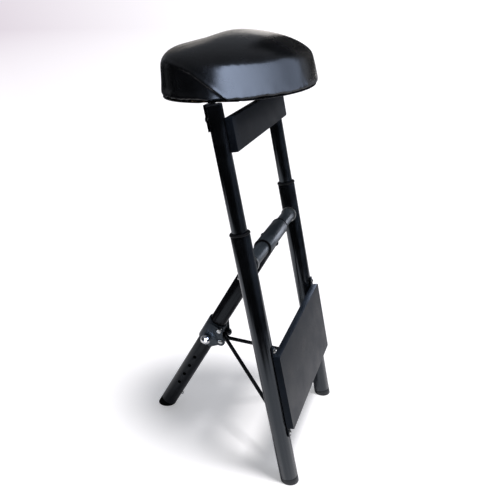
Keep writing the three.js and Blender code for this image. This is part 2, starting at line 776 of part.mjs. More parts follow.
// Bracket plates: flat along the collar, with a round nose in front that carries the pivot pin
const plateTop = -(collarDistance + plateEndGap);
const plateLow = -(collarDistance + collarLength - plateEndGap);
const plateShape = new THREE.Shape();
plateShape.moveTo(-plateRearDepth, plateTop);
plateShape.lineTo(-plateRearDepth, plateLow);
plateShape.lineTo(plateFrontDepth, plateLow);
plateShape.absarc(pivotOffset, -pivotDistance, noseRadius, -Math.PI / 2, Math.PI / 2, false);
plateShape.lineTo(plateFrontDepth + plateEndGap, plateTop);
const screwShankEnd = Math.sqrt(collarInner ** 2 - (plateScrewOffset - plateScrewRadius) ** 2) + fit;
const pinOutside = plateOutside + fit;
for (const { name, sign } of sides) {
  const start = at(0, sign > 0 ? plateOutside : -plateSide, 0);
  const plate = cut(
    raised(plateShape, bracketPlateThickness, forward, towardRight, start),
    through(pinRadius + fit, pivotOffset, pivotDistance),
    screwBore,
    knobBore,
  );
  rearLeg.add(piece(`${name}_bracket_plate`, plate, "plate"));

  // Hexagon screw, from outside the plate into the collar's wall
  const head = pinOutside + plateScrewHeadHeight;
  const headRadius = plateScrewHeadRadius;
  const screw = join(
    turned([[0, pinOutside], [headRadius, pinOutside], [headRadius, head], [0, head]], 6),
    bar(plateScrewRadius, at(0, 0, screwShankEnd), at(0, 0, head - fit)),
  );
  const screwAt = at(plateScrewOffset, 0, -plateScrewDistance);
  rearLeg.add(piece(`${name}_bracket_screw`, aimed(screw, screwAt, at(0, sign, 0)), "zinc"));
}

// Pivot pin with a formed head at each end, and the spacers that keep the stays in the middle
const pin = turned(
  [
    [0, -pinOutside - pinHeadHeight],
    [pinHeadRadius / 2, -pinOutside - pinHeadHeight],
    [pinHeadRadius, -pinOutside - pinHeadHeight / 3],
    [pinHeadRadius, -pinOutside],
    [pinRadius, -pinOutside],
    [pinRadius, pinOutside],
    [pinHeadRadius, pinOutside],
    [pinHeadRadius, pinOutside + pinHeadHeight / 3],
    [pinHeadRadius / 2, pinOutside + pinHeadHeight],
    [0, pinOutside + pinHeadHeight],
  ],
  smallSides,
);
const pivotAt = at(pivotOffset, 0, -pivotDistance);
rearLeg.add(piece("pivot_pin", aimed(pin, pivotAt, left), "zinc"));
const eyeInside = stayEyeOffset - stayEyeThickness / 2 - fit;
const eyeOutside = stayEyeOffset + stayEyeThickness / 2 + fit;
const spacerInner = pinRadius + fit;
for (const [name, from, to] of [
  ["right", -plateSide + fit, -eyeOutside],
  ["middle", -eyeInside, eyeInside],
  ["left", eyeOutside, plateSide - fit],
]) {
  const spacer = turned(ring(spacerInner, spacerInner + spacerWall, from, to), smallSides);
  rearLeg.add(piece(`${name}_pin_spacer`, aimed(spacer, pivotAt, left), "plastic"));
}

// Pull knob: a ball on a pin that reaches through the collar to the tube
const ballMiddle = pinOutside + Math.sqrt(knobRadius ** 2 - knobNeckRadius ** 2);
const knobProfile = [
  [0, rearRadius + fit],
  [knobPinRadius / 2, rearRadius + fit],
  [knobPinRadius, rearRadius + fit + knobPinRadius / 2],
  [knobPinRadius, pinOutside],
  [knobNeckRadius, pinOutside],
];
const ballSteps = 12;
const neckAngle = Math.asin(knobNeckRadius / knobRadius);
for (let step = 1; step <= ballSteps; step++) {
  const angle = neckAngle + (Math.PI - neckAngle) * (step / ballSteps);
  const radius = step === ballSteps ? 0 : knobRadius * Math.sin(angle);
  knobProfile.push([radius, ballMiddle - knobRadius * Math.cos(angle)]);
}
const knob = turned(knobProfile, tubeSides);
rearLeg.add(piece("pull_knob", aimed(knob, at(0, 0, -knobDistance), towardRight), "chrome"));

// Stays: round bars flattened to an eye at both ends and bent near each eye. They are built in the
// front legs' frame. The rivet of the lower eye turns with the stay against the stud.
const spread = frontLean + rearLean;
const pinInFront = at(
  pivotOffset * Math.cos(spread) - pivotDistance * Math.sin(spread),
  0,
  crossbarDistance - pivotOffset * Math.sin(spread) - pivotDistance * Math.cos(spread),
);
const bendSteps = 4;
const rodSteps = 3;
for (const { name, sign } of sides) {
  const low = at(0, sign * stayEye, stayPivotHeight);
  const high = pinInFront.clone().setY(sign * stayEyeOffset);
  const inPlane = high.clone().sub(low).setY(0).normalize();
  const across = inPlane.clone().cross(left);
  const half = stayEyeThickness / 2;
  // The bar grows thicker towards the middle only, so that the eyes' outer faces stay flat
  const growth = stayRadius - half;
  const lowBend = low.clone().addScaledVector(inPlane, stayFlatLength);
  const highBend = high.clone().addScaledVector(inPlane, -stayFlatLength);
  // Each end stays flat as far as the eye's rim, and is round where the bend begins
  const flatShare = stayEyeRadius / stayFlatLength;
  const swellAt = (share) => (Math.max(0, share - flatShare) / (1 - flatShare)) ** 2;
  const stations = [];
  for (let step = 0; step <= bendSteps; step++) {
    const share = step / bendSteps;
    const swell = swellAt(share);
    stations.push({ place: low.clone().lerp(lowBend, share), swell, drift: -sign * growth * swell });
  }
  const rodStart = lowBend.clone().add(at(0, -sign * growth, 0));
  const rodEnd = highBend.clone().add(at(0, sign * growth, 0));
  for (let step = 1; step < rodSteps; step++) {
    const share = step / rodSteps;
    stations.push({ place: rodStart.clone().lerp(rodEnd, share), swell: 1, drift: 0 });
  }
  for (let step = bendSteps; step >= 0; step--) {
    const share = step / bendSteps;
    const swell = swellAt(share);
    stations.push({ place: high.clone().lerp(highBend, share), swell, drift: sign * growth * swell });
  }
  const rings = stations.map(({ place, swell, drift }) => {
    const points = [];
    const wide = THREE.MathUtils.lerp(stayEyeRadius * Math.SQRT1_2, stayRadius, swell);
    const thick = THREE.MathUtils.lerp(half, stayRadius, swell);
    for (let side = 0; side < smallSides; side++) {
      const angle = (2 * Math.PI * side) / smallSides;
      const point = place.clone().add(at(0, drift, 0));
      point.addScaledVector(across, wide * Math.cos(angle));
      points.push(point.addScaledVector(left, thick * Math.sin(angle)));
    }
    return points;
  });
  const thickness = at(0, half, 0);
  const eyes = [low, high].map((p) =>
    bar(stayEyeRadius, p.clone().sub(thickness), p.clone().add(thickness), tubeSides),
  );
  const past = at(0, overrun, 0);
  const lowHole = bar(stayRivetRadius + fit, low.clone().sub(past), low.clone().add(past));
  const highHole = bar(pinRadius + fit, high.clone().sub(past), high.clone().add(past));
  frontLegs.add(piece(`${name}_stay`, cut(join(lofted(rings), ...eyes), lowHole, highHole), "frame"));

  const rivet = turned(
    [
      [0, -half - fit - stayRivetHeadHeight],
      [stayRivetHeadRadius / 2, -half - fit - stayRivetHeadHeight],
      [stayRivetHeadRadius, -half - fit - stayRivetHeadHeight / 3],
      [stayRivetHeadRadius, -half - fit],
      [stayRivetRadius, -half - fit],
      [stayRivetRadius, half],
      [0, half],
    ],
    smallSides,
  );
  frontLegs.add(piece(`${name}_stay_rivet`, aimed(rivet, low, at(0, sign, 0)), "zinc"));
}

// The stool, standing on the floor with its origin below the middle of its box
const stool = new THREE.Group();
stool.add(frontLegs);
stool.updateMatrixWorld(true);
const box = new THREE.Box3().setFromObject(stool, true);
const centre = box.getCenter(at(0, 0, 0));
stool.position.set(-centre.x, -centre.y, -box.min.z);

export default stool;
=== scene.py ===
# %% [markdown]
# # A tall folding stool
# The stool stands on three tubular legs and has a padded vinyl seat. The imported model already
# holds every part in its true place and size, in metres, with +X to the front and +Z up. This
# lesson dresses it: it gives each part the edge, surface and wear of the real one, replaces the
# plain cushion by a stuffed one, and sets the result on a pale floor before a camera and lamps.

# %% Load the imported model
import json
import math
import bmesh
import bpy
from mathutils import Matrix, Vector, noise


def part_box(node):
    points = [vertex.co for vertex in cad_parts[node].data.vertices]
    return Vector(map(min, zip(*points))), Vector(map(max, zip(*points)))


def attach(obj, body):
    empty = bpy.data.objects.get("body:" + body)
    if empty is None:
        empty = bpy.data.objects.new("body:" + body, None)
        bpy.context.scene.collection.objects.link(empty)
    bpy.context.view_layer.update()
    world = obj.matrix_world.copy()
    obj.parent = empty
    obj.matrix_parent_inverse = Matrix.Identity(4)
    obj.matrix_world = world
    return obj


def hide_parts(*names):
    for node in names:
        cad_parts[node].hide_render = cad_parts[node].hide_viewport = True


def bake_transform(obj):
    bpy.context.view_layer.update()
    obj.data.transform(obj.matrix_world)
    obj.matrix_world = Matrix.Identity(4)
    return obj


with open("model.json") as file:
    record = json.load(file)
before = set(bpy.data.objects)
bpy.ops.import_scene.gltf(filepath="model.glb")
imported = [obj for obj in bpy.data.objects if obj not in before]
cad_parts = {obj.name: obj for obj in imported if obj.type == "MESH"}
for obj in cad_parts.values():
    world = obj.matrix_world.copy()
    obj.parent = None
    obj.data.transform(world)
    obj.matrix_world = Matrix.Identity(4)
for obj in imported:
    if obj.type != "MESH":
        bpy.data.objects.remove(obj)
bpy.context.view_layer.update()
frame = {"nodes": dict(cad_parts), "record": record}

scene = bpy.context.scene
print("parts in the model:", len(frame["nodes"]))

# %% [markdown]
# ## Sizes
# The real sizes that this lesson works from, in millimetres. The leaning front legs have a frame of
# their own: "off" runs out of their plane to the front, and "along" runs up the legs.

# %% Real sizes
MM = 0.001
FRONT_LEAN = math.radians(11.8)
REAR_LEAN = math.radians(28.3)
SEAT_LEAN = math.radians(5.1)
LEG_SPACING = 280
LOWER_RADIUS = 16
UPPER_RADIUS = 12.7
CROSSBAR_ALONG = 416
SEAT_ALONG = 680
SEAT_BACK = 5.6


def rotation_y(angle):
    """A turn about the stool's left-right axis."""
    return Matrix.Rotation(angle, 4, "Y")


def adjust(thing, **settings):
    """Changes settings of a thing and hands it back."""
    for key, value in settings.items():
        setattr(thing, key, value)
    return thing


# The frame's origin lies where the right leg's axis meets the floor, moved to the stool's middle.
crossbar_centre = (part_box("crossbar")[0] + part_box("crossbar")[1]) / 2
legs_to_world = Matrix.Translation(crossbar_centre) @ rotation_y(-FRONT_LEAN) @ (
    Matrix.Translation((0, 0, -CROSSBAR_ALONG * MM))
)
rear_to_world = Matrix.Translation(crossbar_centre) @ rotation_y(REAR_LEAN)
seat_to_world = legs_to_world @ Matrix.Translation((-SEAT_BACK * MM, 0, SEAT_ALONG * MM)) @ (
    rotation_y(FRONT_LEAN - SEAT_LEAN)
)
print("foot of the front legs at x =", round(legs_to_world.translation.x * 1000, 1), "mm")

# %% [markdown]
# ## The camera comes first
# The photograph is taken from the stool's right and a little in front, from above the seat's
# height. Placing the camera first means that each later step can be compared with the photograph.

# %% Camera
CAMERA_FROM_FEET = Vector((0.2038, -1.0402, 0.8508))  # metres, from between the front feet
CAMERA_AZIMUTH = math.radians(17.51)
CAMERA_DROP = math.radians(23.53)
CAMERA_ROLL = math.radians(0.65)
CAMERA_LENS = 47.17  # millimetres
CAMERA_SENSOR = 36  # its width in millimetres

camera = bpy.data.objects.new("Camera", bpy.data.cameras.new("Camera"))
adjust(camera.data, lens=CAMERA_LENS, sensor_width=CAMERA_SENSOR, clip_start=0.01)
camera_place = legs_to_world.translation + CAMERA_FROM_FEET
turn = Matrix.Rotation(CAMERA_AZIMUTH, 4, "Z") @ (
    Matrix.Rotation(math.pi / 2 - CAMERA_DROP, 4, "X") @ Matrix.Rotation(CAMERA_ROLL, 4, "Z")
)
camera.matrix_world = Matrix.Translation(camera_place) @ turn
scene.collection.objects.link(camera)
scene.camera = camera
print("camera at", [round(v, 3) for v in camera_place])

# %% [markdown]
# ## Building materials from nodes
# A material is a small tree of nodes. One function adds a node, sets its values and links it, so
# that a tree reads from top to bottom. Colours are written as sRGB hex values, the way a paint
# chart gives them, and one function turns them into the linear numbers that a renderer needs.
# Every pattern takes its scale from a real size in millimetres: texture coordinates are metres
# here, so a pattern with one feature per millimetre has a scale of 1000.


# %% Helpers for materials
def colour(code):
    """Linear RGBA from an sRGB hex value such as "#1a2b3c"."""
    shares = [int(code[i:i + 2], 16) / 255 for i in (1, 3, 5)]
    linear = [c / 12.92 if c <= 0.04045 else ((c + 0.055) / 1.055) ** 2.4 for c in shares]
    return (*linear, 1)


def node(tree, kind, values=None, links=None, **settings):
    """Adds a shader node, sets its settings and socket values, and links outputs to it."""
    new = adjust(tree.nodes.new(f"ShaderNode{kind}"), **settings)
    for socket, value in (values or {}).items():
        new.inputs[socket].default_value = value
    for socket, output in (links or {}).items():
        tree.links.new(output, new.inputs[socket])
    return new


def bare_material(name):
    """A new material and its empty tree."""
    material = bpy.data.materials.new(name)
    material.use_nodes = True
    material.node_tree.nodes.clear()
    return material, material.node_tree


def start_material(name, values):
    """A material: its tree, its surface shader with some values, and coordinates in metres."""
    material, tree = bare_material(name)
    surface = node(tree, "BsdfPrincipled", values)
    node(tree, "OutputMaterial", links={"Surface": surface.outputs["BSDF"]})
    place = node(tree, "TexCoord").outputs["Object"]
    return material, tree, surface, place


def per_metre(millimetres):
    """The texture scale at which one feature takes this many millimetres."""
    return 1000 / millimetres


def noise_map(tree, place, size_mm, detail=3, roughness=0.5, distortion=0):
    """Soft noise whose blobs are about size_mm across."""
    values = {"Scale": per_metre(size_mm), "Detail": detail, "Roughness": roughness,
              "Distortion": distortion}
    return node(tree, "TexNoise", values, {"Vector": place}).outputs["Fac"]


def remap(tree, value, low, high, to_low, to_high):
    """Maps low..high to to_low..to_high and holds it there."""
    values = {"From Min": low, "From Max": high, "To Min": to_low, "To Max": to_high}
    return node(tree, "MapRange", values, {"Value": value}).outputs["Result"]


def blend_colours(tree, share, first, second):
    """A colour between two, each a hex value or an output."""
    mix = node(tree, "Mix", data_type="RGBA")
    tree.links.new(share, mix.inputs["Factor"])
    for socket, given in (("A", first), ("B", second)):
        target = [s for s in mix.inputs if s.name == socket and s.type == "RGBA"][0]
        if isinstance(given, str):
            target.default_value = colour(given)
        else:
            tree.links.new(given, target)
    return [s for s in mix.outputs if s.type == "RGBA"][0]


def along_bar(tree, place, lean, across_mm, along_mm):
    """Coordinates for marks that run along a leaning bar, in features of the given sizes."""
    turned = node(tree, "Mapping", {"Rotation": (0, lean, 0)}, {"Vector": place})
    scale = (per_metre(across_mm), per_metre(across_mm), per_metre(along_mm))
    stretched = node(tree, "Mapping", {"Scale": scale},
                     {"Vector": turned.outputs["Vector"]})
    return stretched.outputs["Vector"]


def set_colour(tree, surface, cloud, base, light, *marks):
    """A clouded base with marks on it: each a pattern, its range, its least and most, a colour."""
    shown = blend_colours(tree, remap(tree, cloud, 0.35, 0.65, 0.0, 1.0), base, light)
    for pattern, low, high, least, most, tint in marks:
        shown = blend_colours(tree, remap(tree, pattern, low, high, least, most), shown, tint)
    tree.links.new(shown, surface.inputs["Base Color"])


def set_gloss(tree, surface, pattern, low, high):
    """Makes the roughness follow a pattern between two values."""
    tree.links.new(remap(tree, pattern, 0.3, 0.7, low, high), surface.inputs["Roughness"])


def set_relief(tree, surface, height, strength, depth_mm, over=None):
    """Presses a pattern into the surface, on top of another relief if one is given."""
    links = {"Height": height}
    if over:
        links["Normal"] = over.outputs["Normal"]
    bump = node(tree, "Bump", {"Strength": strength, "Distance": depth_mm * MM}, links)
    tree.links.new(bump.outputs["Normal"], surface.inputs["Normal"])
    return bump


print("helpers ready; white is", colour("#ffffff")[:3])

# %% [markdown]
# ## Powder-coated steel
# The tubes are steel tube, 32 and 25 mm across, with a black polyester powder baked on. Powder
# flows out almost smooth, so the surface is satin with a faint orange peel of about 2 mm, and
# handling leaves thin bright rubs along the tube. A flat black with one roughness would look like
# plastic, so the peel goes into the bump and the rubs into the roughness.


# %% Powder coat
POWDER_SHINE = 0.75
COOL_SHINE = (0.8, 0.9, 1.0, 1.0)  # the gloss leans to blue, as the studio's daylight does
PEEL_MM = 2.2
RUB_WIDTH_MM = 1.4
RUB_LENGTH_MM = 60


def powder_coat(name, base, light, roughness, lean, shine=POWDER_SHINE):
    """Baked powder on steel: faint peel, cloudy gloss and thin rubs along the bar."""
    values = {"Specular IOR Level": shine, "Specular Tint": COOL_SHINE}
    material, tree, surface, place = start_material(name, values)
    cloud = noise_map(tree, place, 35, 4)
    streaks = along_bar(tree, place, lean, RUB_WIDTH_MM, RUB_LENGTH_MM)
    rubs = node(tree, "TexNoise", {"Scale": 1.0, "Detail": 2.0}, {"Vector": streaks})
    rubbed = remap(tree, rubs.outputs["Fac"], 0.62, 0.74, 0.0, 0.5)
    set_colour(tree, surface, cloud, base, light, (rubbed, 0.0, 1.0, 0.0, 0.25, "#3d4148"))
    gloss = remap(tree, cloud, 0.3, 0.7, roughness - 0.05, roughness + 0.06)
    streaked = node(tree, "Math", {1: 0.12}, {0: rubbed, 2: gloss},
                    operation="MULTIPLY_ADD")
    tree.links.new(streaked.outputs["Value"], surface.inputs["Roughness"])
    set_relief(tree, surface, noise_map(tree, place, PEEL_MM, 2, 0.4), 0.12, 0.06)
    return material


front_tube_coat = powder_coat("front_tube_powder_coat", "#08090b", "#0d0e11", 0.15, FRONT_LEAN)
# The rear leg and its stays take a copy of the tubes' black powder, a little lighter in colour and
# less glossy: the lighter colour is painted light, for how the rear leg is lit.
rear_coat_painted_light = powder_coat("rear_leg_coat_with_painted_light", "#0d0e10", "#131417", 0.22, -REAR_LEAN, 0.24)
# The crossbar and its sleeve take the powder in a lighter slate: partly their own tone, partly
# painted light for the bluish light they catch from above.
crossbar_coat_painted_light = powder_coat("crossbar_coat_with_painted_light", "#2a3036", "#353c43", 0.36, -REAR_LEAN)
# The slide collar and the bracket plates take a lighter slate still: partly their own tone, partly
# a painted reflection of the paper in front of them, which shiny parts here don't see.
collar_coat_painted_reflection = powder_coat("collar_coat_with_painted_reflection", "#31393f", "#3a4249", 0.36, -REAR_LEAN, 0.5)
print("made", front_tube_coat.name, rear_coat_painted_light.name, crossbar_coat_painted_light.name, collar_coat_painted_reflection.name)

# %% [markdown]
# The kick plate and the plate under the seat are folded from steel sheet and coated in a softer,
# slightly textured powder. It has a fine sand-like grain of about 0.7 mm that spreads the light, so
# the plates look slate grey beside the tubes. The grain is drawn a little coarser than the real
# one, because at the real size it wouldn't show.


# %% Textured powder coat
SAND_MM = 0.9
PLATE_SHINE = 0.12  # dull, because the grain scatters what a smooth coat would mirror


def textured_coat(name, base, light, roughness):
    """Fine-textured powder on sheet: sandy grain, soft sheen and shoe scuffs."""
    values = {"Specular IOR Level": PLATE_SHINE, "Specular Tint": COOL_SHINE}
    material, tree, surface, place = start_material(name, values)
    cloud = noise_map(tree, place, 45, 5)
    grain = noise_map(tree, place, SAND_MM, 2, 0.6)
    scuffs = noise_map(tree, place, 9, 6, distortion=1.6)
    scuffed = remap(tree, scuffs, 0.62, 0.72, 0.0, 1.0)
    set_colour(tree, surface, cloud, base, light, (grain, 0.55, 0.75, 0.0, 0.35, "#363c43"),
               (scuffed, 0.0, 1.0, 0.0, 0.10, "#6a6f75"))
    set_gloss(tree, surface, cloud, roughness - 0.05, roughness + 0.07)
    set_relief(tree, surface, grain, 0.35, 0.12)
    return material


plate_coat = textured_coat("plate_textured_powder_coat", "#10151c", "#171d26", 0.32)
print("made", plate_coat.name)

# %% [markdown]
# ## Bright metal
# Screws, rivets and washers are steel with a bright zinc plate: nearly white, slightly blue, with a
# fine brushed haze. The pull knob is chromed, so it is much smoother and mirrors the room. The leaf
# springs are plain spring steel, darker and with an oily bloom.


# %% Plated steel
def plated_steel(name, base, tint, roughness, haze_mm, haze):
    """Bright plating: clouded tint, fine haze in the gloss and a trace of bump."""
    material, tree, surface, place = start_material(name, {"Metallic": 1})
    cloud = noise_map(tree, place, 7, 3)
    tree.links.new(blend_colours(tree, cloud, base, tint), surface.inputs["Base Color"])
    fine = noise_map(tree, place, haze_mm, 3, 0.6)
    set_gloss(tree, surface, fine, roughness, roughness + haze)
    set_relief(tree, surface, fine, 0.12, 0.03)
    return material


zinc = plated_steel("bright_zinc_plate", "#c9cdd2", "#dcdcd6", 0.24, 0.5, 0.16)
chrome = plated_steel("polished_chrome", "#e9ebee", "#f2f2f0", 0.04, 1.5, 0.06)
spring_steel = plated_steel("blued_spring_steel", "#85898f", "#777068", 0.3, 0.8, 0.2)
print("made", zinc.name, chrome.name, spring_steel.name)

# %% [markdown]
# ## Moulded parts and wood
# The bushes and spacers are black nylon, moulded in a spark-eroded tool that leaves a fine matt
# grain. The feet are black rubber: rougher, greyer where dust sits, with a faint pitted skin. The
# board under the cushion is birch plywood, whose grain runs from side to side.


# %% Nylon, rubber and plywood
def moulded(name, base, light, roughness, grain_mm, depth_mm, dust=0.0, shine=0.5):
    """A moulded surface: matt grain, cloudy gloss and, on rubber, a trace of dust."""
    material, tree, surface, place = start_material(name, {"Specular IOR Level": shine})
    cloud = noise_map(tree, place, 14, 4)
    grain = noise_map(tree, place, grain_mm, 3, 0.6)
    set_colour(tree, surface, cloud, base, light, (grain, 0.5, 0.8, 0.0, dust, "#5b5a57"))
    set_gloss(tree, surface, cloud, roughness - 0.06, roughness + 0.06)
    set_relief(tree, surface, grain, 0.5, depth_mm)
    return material


def birch_plywood():
    """Rotary-cut birch: pale, with long soft grain from side to side."""
    material, tree, surface, place = start_material("birch_plywood", None)
    scale = (per_metre(3.0), per_metre(90), per_metre(1.5))
    stretch = node(tree, "Mapping", {"Scale": scale}, {"Vector": place})
    grain = node(tree, "TexNoise", {"Scale": 1.0, "Detail": 6.0, "Distortion": 0.8},
                 {"Vector": stretch.outputs["Vector"]}).outputs["Fac"]
    set_colour(tree, surface, grain, "#c9a878", "#a98452")
    set_gloss(tree, surface, grain, 0.55, 0.72)
    set_relief(tree, surface, grain, 0.3, 0.1)
    return material


nylon = moulded("moulded_black_nylon", "#121316", "#191a1e", 0.46, 0.8, 0.05)
rubber = moulded("moulded_black_rubber", "#22272b", "#2a2f34", 0.42, 1.1, 0.12, dust=0.1)
# The rear foot's rubber is a darker, duller copy of the feet's rubber: painted shade, for the
# shadow under the seat where it stands.
rear_foot_shade_rubber = moulded("rear_foot_rubber_painted_shade", "#060607", "#0a0a0b", 0.8, 1.1, 0.1, 0.03, 0.08)
felt = moulded("black_felted_cloth", "#0c0c0e", "#141416", 0.88, 0.6, 0.15, dust=0.06)
plywood = birch_plywood()
print("made", nylon.name, rubber.name, rear_foot_shade_rubber.name, felt.name, plywood.name)

# %% [markdown]
# ## Vinyl
# The seat is covered in upholstery vinyl: a soft black film with a pressed leather grain, over
# foam. New vinyl is semi-gloss, so it takes broad, soft reflections. Its grain is a net of pebbles
# about 1.5 mm wide, made by a Voronoi pattern, and a hand-pulled cover has slow waves of a few
# centimetres, which a second, larger noise gives.


# %% Upholstery vinyl
PEBBLE_MM = 1.5
WAVE_MM = 26


def upholstery_vinyl():
    """Black vinyl with pressed pebbles, slow waves and a trace of lint in the valleys."""
    material, tree, surface, place = start_material("black_upholstery_vinyl", None)
    warp = node(tree, "TexNoise", {"Scale": per_metre(4), "Detail": 2.0},
                {"Vector": place})
    bent = node(tree, "VectorMath", {"Scale": 0.0012},
                {0: warp.outputs["Color"]}, operation="SCALE")
    moved = node(tree, "VectorMath", None,
                 {0: place, 1: bent.outputs["Vector"]}, operation="ADD")
    pebbles = node(tree, "TexVoronoi", {"Scale": per_metre(PEBBLE_MM)},
                   {"Vector": moved.outputs["Vector"]}, feature="DISTANCE_TO_EDGE")
    net = remap(tree, pebbles.outputs["Distance"], 0.0, 0.22, 0.0, 1.0)
    cloud = noise_map(tree, place, 40, 4)
    set_colour(tree, surface, cloud, "#08090a", "#0d0e10", (net, 0.0, 0.6, 0.2, 0.0, "#1c1d20"))
    set_gloss(tree, surface, cloud, 0.21, 0.29)
    slow = set_relief(tree, surface, noise_map(tree, place, WAVE_MM, 2), 0.35, 1.2)
    set_relief(tree, surface, net, 0.16, 0.08, over=slow)
    return material


vinyl = upholstery_vinyl()
print("made", vinyl.name)

# %% [markdown]
# ## Dressing the metal parts
# The model's solids are exact but sharp: every edge is a knife edge. Real tube ends are deburred,
# sheet has a rounded shear edge, and powder fills the corners. Each part is therefore copied, its
# flat faces are joined up, and its edges get a small rounding that catches the light. The copy
# stands for the part in the picture, and the exact solid stays underneath for the physics.


# %% Copy and round a part
SHARP_ANGLE = math.radians(32)


def mesh_from(work):
    """Turns a bmesh into a mesh."""
    mesh = bpy.data.meshes.new("mesh")
    work.to_mesh(mesh)
    work.free()
    return mesh


def part_mesh(name):
    """A clean copy of a part's mesh: shared corners joined and flat faces whole."""
    work = bmesh.new()
    work.from_mesh(frame["nodes"][name].data)
    bmesh.ops.remove_doubles(work, verts=work.verts, dist=2e-6)
    bmesh.ops.dissolve_limit(work, angle_limit=math.radians(0.6), verts=work.verts,
                             edges=work.edges)
    return mesh_from(work)


def shade_smoothly(mesh):
    """Lets light run over a mesh without facets."""
    for face in mesh.polygons:
        face.use_smooth = True


def new_piece(name, mesh, material, place=None):
    """A smoothly shaded piece in the scene, in a material and moved to its place."""
    mesh.name = name
    if place is not None:
        mesh.transform(place)
    mesh.materials.append(material)
    shade_smoothly(mesh)
    piece = bpy.data.objects.new(name, mesh)
    scene.collection.objects.link(piece)
    return piece


def round_edges(piece, edge_mm, segments=2, limit="ANGLE"):
    """Rounds a piece's sharp edges, or those that carry a weight."""
    adjust(piece.modifiers.new("round edges", "BEVEL"), width=edge_mm * MM, segments=segments,
           limit_method=limit, angle_limit=SHARP_ANGLE, harden_normals=True)


def body_of_node(name):
    """The body that a part belongs to."""
    bodies = frame["record"]["behaviour"]["bodies"]
    return next(body for body, names in bodies.items() if name in names)


def stand_for(piece, name, bends=None):
    """Shows a piece instead of a part and moves it with the part's body; a piece given bends is
    only fixed where it stands, and what bends holds is not read.
    """
    if bends:
        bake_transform(piece)
    else:
        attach(piece, body_of_node(name))
    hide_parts(name)


def dress(names, material, edge_mm=0.35, bends=None):
    """Replaces parts by their rounded copies in a material."""
    for name in names:
        piece = new_piece(f"{name}_finished", part_mesh(name), material)
        if edge_mm:
            round_edges(piece, edge_mm)
        stand_for(piece, name, bends)
    print(material.name, "on", ", ".join(names))


sides = ("left", "right")


def both(*parts):
    """The names of parts that each side has."""
    return [f"{side}_{part}" for side in sides for part in parts]


hinge_parts = ["crossbar", "hinge_sleeve"]
dress(both("lower_tube", "upper_tube", "stay_stud", "seat_bracket"), front_tube_coat)
dress(["rear_tube"] + both("stay"), rear_coat_painted_light)
dress(hinge_parts, crossbar_coat_painted_light)
dress(["slide_collar"], collar_coat_painted_reflection)
dress(both("bracket_plate"), collar_coat_painted_reflection, 0.4)

# %% [markdown]
# The two plates are folded from sheet, so their outer edges aren't rounded by a file but by the
# press: the bend is as tight as the sheet is thick. Those edges get a full bend radius, and the
# sheared edges behind keep a small one. A weight on each edge tells the rounding how far to go.

# %% Folded plates
out_of_legs = legs_to_world.to_3x3() @ Vector((1, 0, 0))
BEND_RADIUS = 1.9
SHEAR_SHARE = 0.15
FACE_DEPTH = 0.05 * MM  # how near its outermost point a corner counts as part of a face


def folded_plate(name):
    """A pressed plate with round bends round its face and small ones elsewhere."""
    work = bmesh.new()
    work.from_mesh(part_mesh(name))
    weights = work.edges.layers.float.new("bevel_weight_edge")
    reach = max(v.co.dot(out_of_legs) for v in work.verts)
    bends = 0
    for edge in work.edges:
        if len(edge.link_faces) != 2 or edge.calc_face_angle(0) < SHARP_ANGLE:
            continue
        on_face = all(v.co.dot(out_of_legs) > reach - FACE_DEPTH for v in edge.verts)
        edge[weights] = 1.0 if on_face else SHEAR_SHARE
        bends += on_face
    piece = new_piece(f"{name}_finished", mesh_from(work), plate_coat)
    round_edges(piece, BEND_RADIUS, 4, "WEIGHT")
    stand_for(piece, name)
    return bends


print("bent edges:", [folded_plate(name) for name in ("kick_plate", "upper_plate")])

# %% [markdown]
# The moulded parts have softer edges than the steel ones. Each leaf spring inside an upper tube
# carries a snap button: its one leaf leans on the tube's wall and stays, and its other leaf goes in
# with the button, so the spring bends between the two. Here each spring is dressed where it
# stands: the two leaf ends worked out below are handed on but not used.

# %% Moulded parts, springs and the board
dress(both("leg_bush", "sleeve_bush", "pin_spacer") + ["middle_pin_spacer"], nylon, 0.3)
dress(both("front_foot"), rubber, 0.6)
dress(["rear_foot"], rear_foot_shade_rubber, 0.6)
dress(["seat_board"], plywood, 0.4)
dress(both("height_button"), zinc, 0.3)
for s in sides:
    button_low, button_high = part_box(f"{s}_height_button")
    spring_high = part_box(f"{s}_button_spring")[1]
    button_end = (button_low + button_high) / 2
    button_end.x = button_high.x
    wall_end = button_end + out_of_legs * (spring_high.x - button_high.x - 1.5 * MM)
    dress([f"{s}_button_spring"], spring_steel, 0,
          (f"height_button_{s}", wall_end, button_end))

# %% [markdown]
# Washers, rivets and pins are turned or stamped, and tumbled before they are plated, which leaves a
# quarter of a millimetre of rounding. The knob is turned round all over and keeps its form.

# %% Plain hardware
dress(["pivot_pin", "rear_stop_pin"] + both("crossbar_washer", "bracket_screw", "stay_rivet"),
      zinc, 0.25)
dress(["pull_knob"], chrome, 0)

# %% [markdown]
# ## Screws with a driven recess
# A screw reads as a screw only by its recess. The exact solids have plain heads, so each visible
# screw is cut with a cross recess, as a header's punch leaves it. The cut is a boolean: a small
# tapered cross is taken out of the head.


# %% Cross recesses
def cross_cutter(span_mm, width_mm, depth_mm):
    """A tapered cross, point down along -Z, whose top lies above z = 0."""
    work = bmesh.new()
    for quarter in (0, 1):
        made = bmesh.ops.create_cube(work, size=1)["verts"]
        for vertex in made:
            deep = vertex.co.z < 0
            vertex.co = MM * Vector((
                vertex.co.x * span_mm * (0.55 if deep else 1.0),
                vertex.co.y * width_mm * (0.8 if deep else 1.0),
                -depth_mm if deep else depth_mm,
            ))
        bmesh.ops.rotate(work, verts=made, cent=(0, 0, 0),
                         matrix=Matrix.Rotation(quarter * math.pi / 2, 3, "Z"))
    return mesh_from(work)


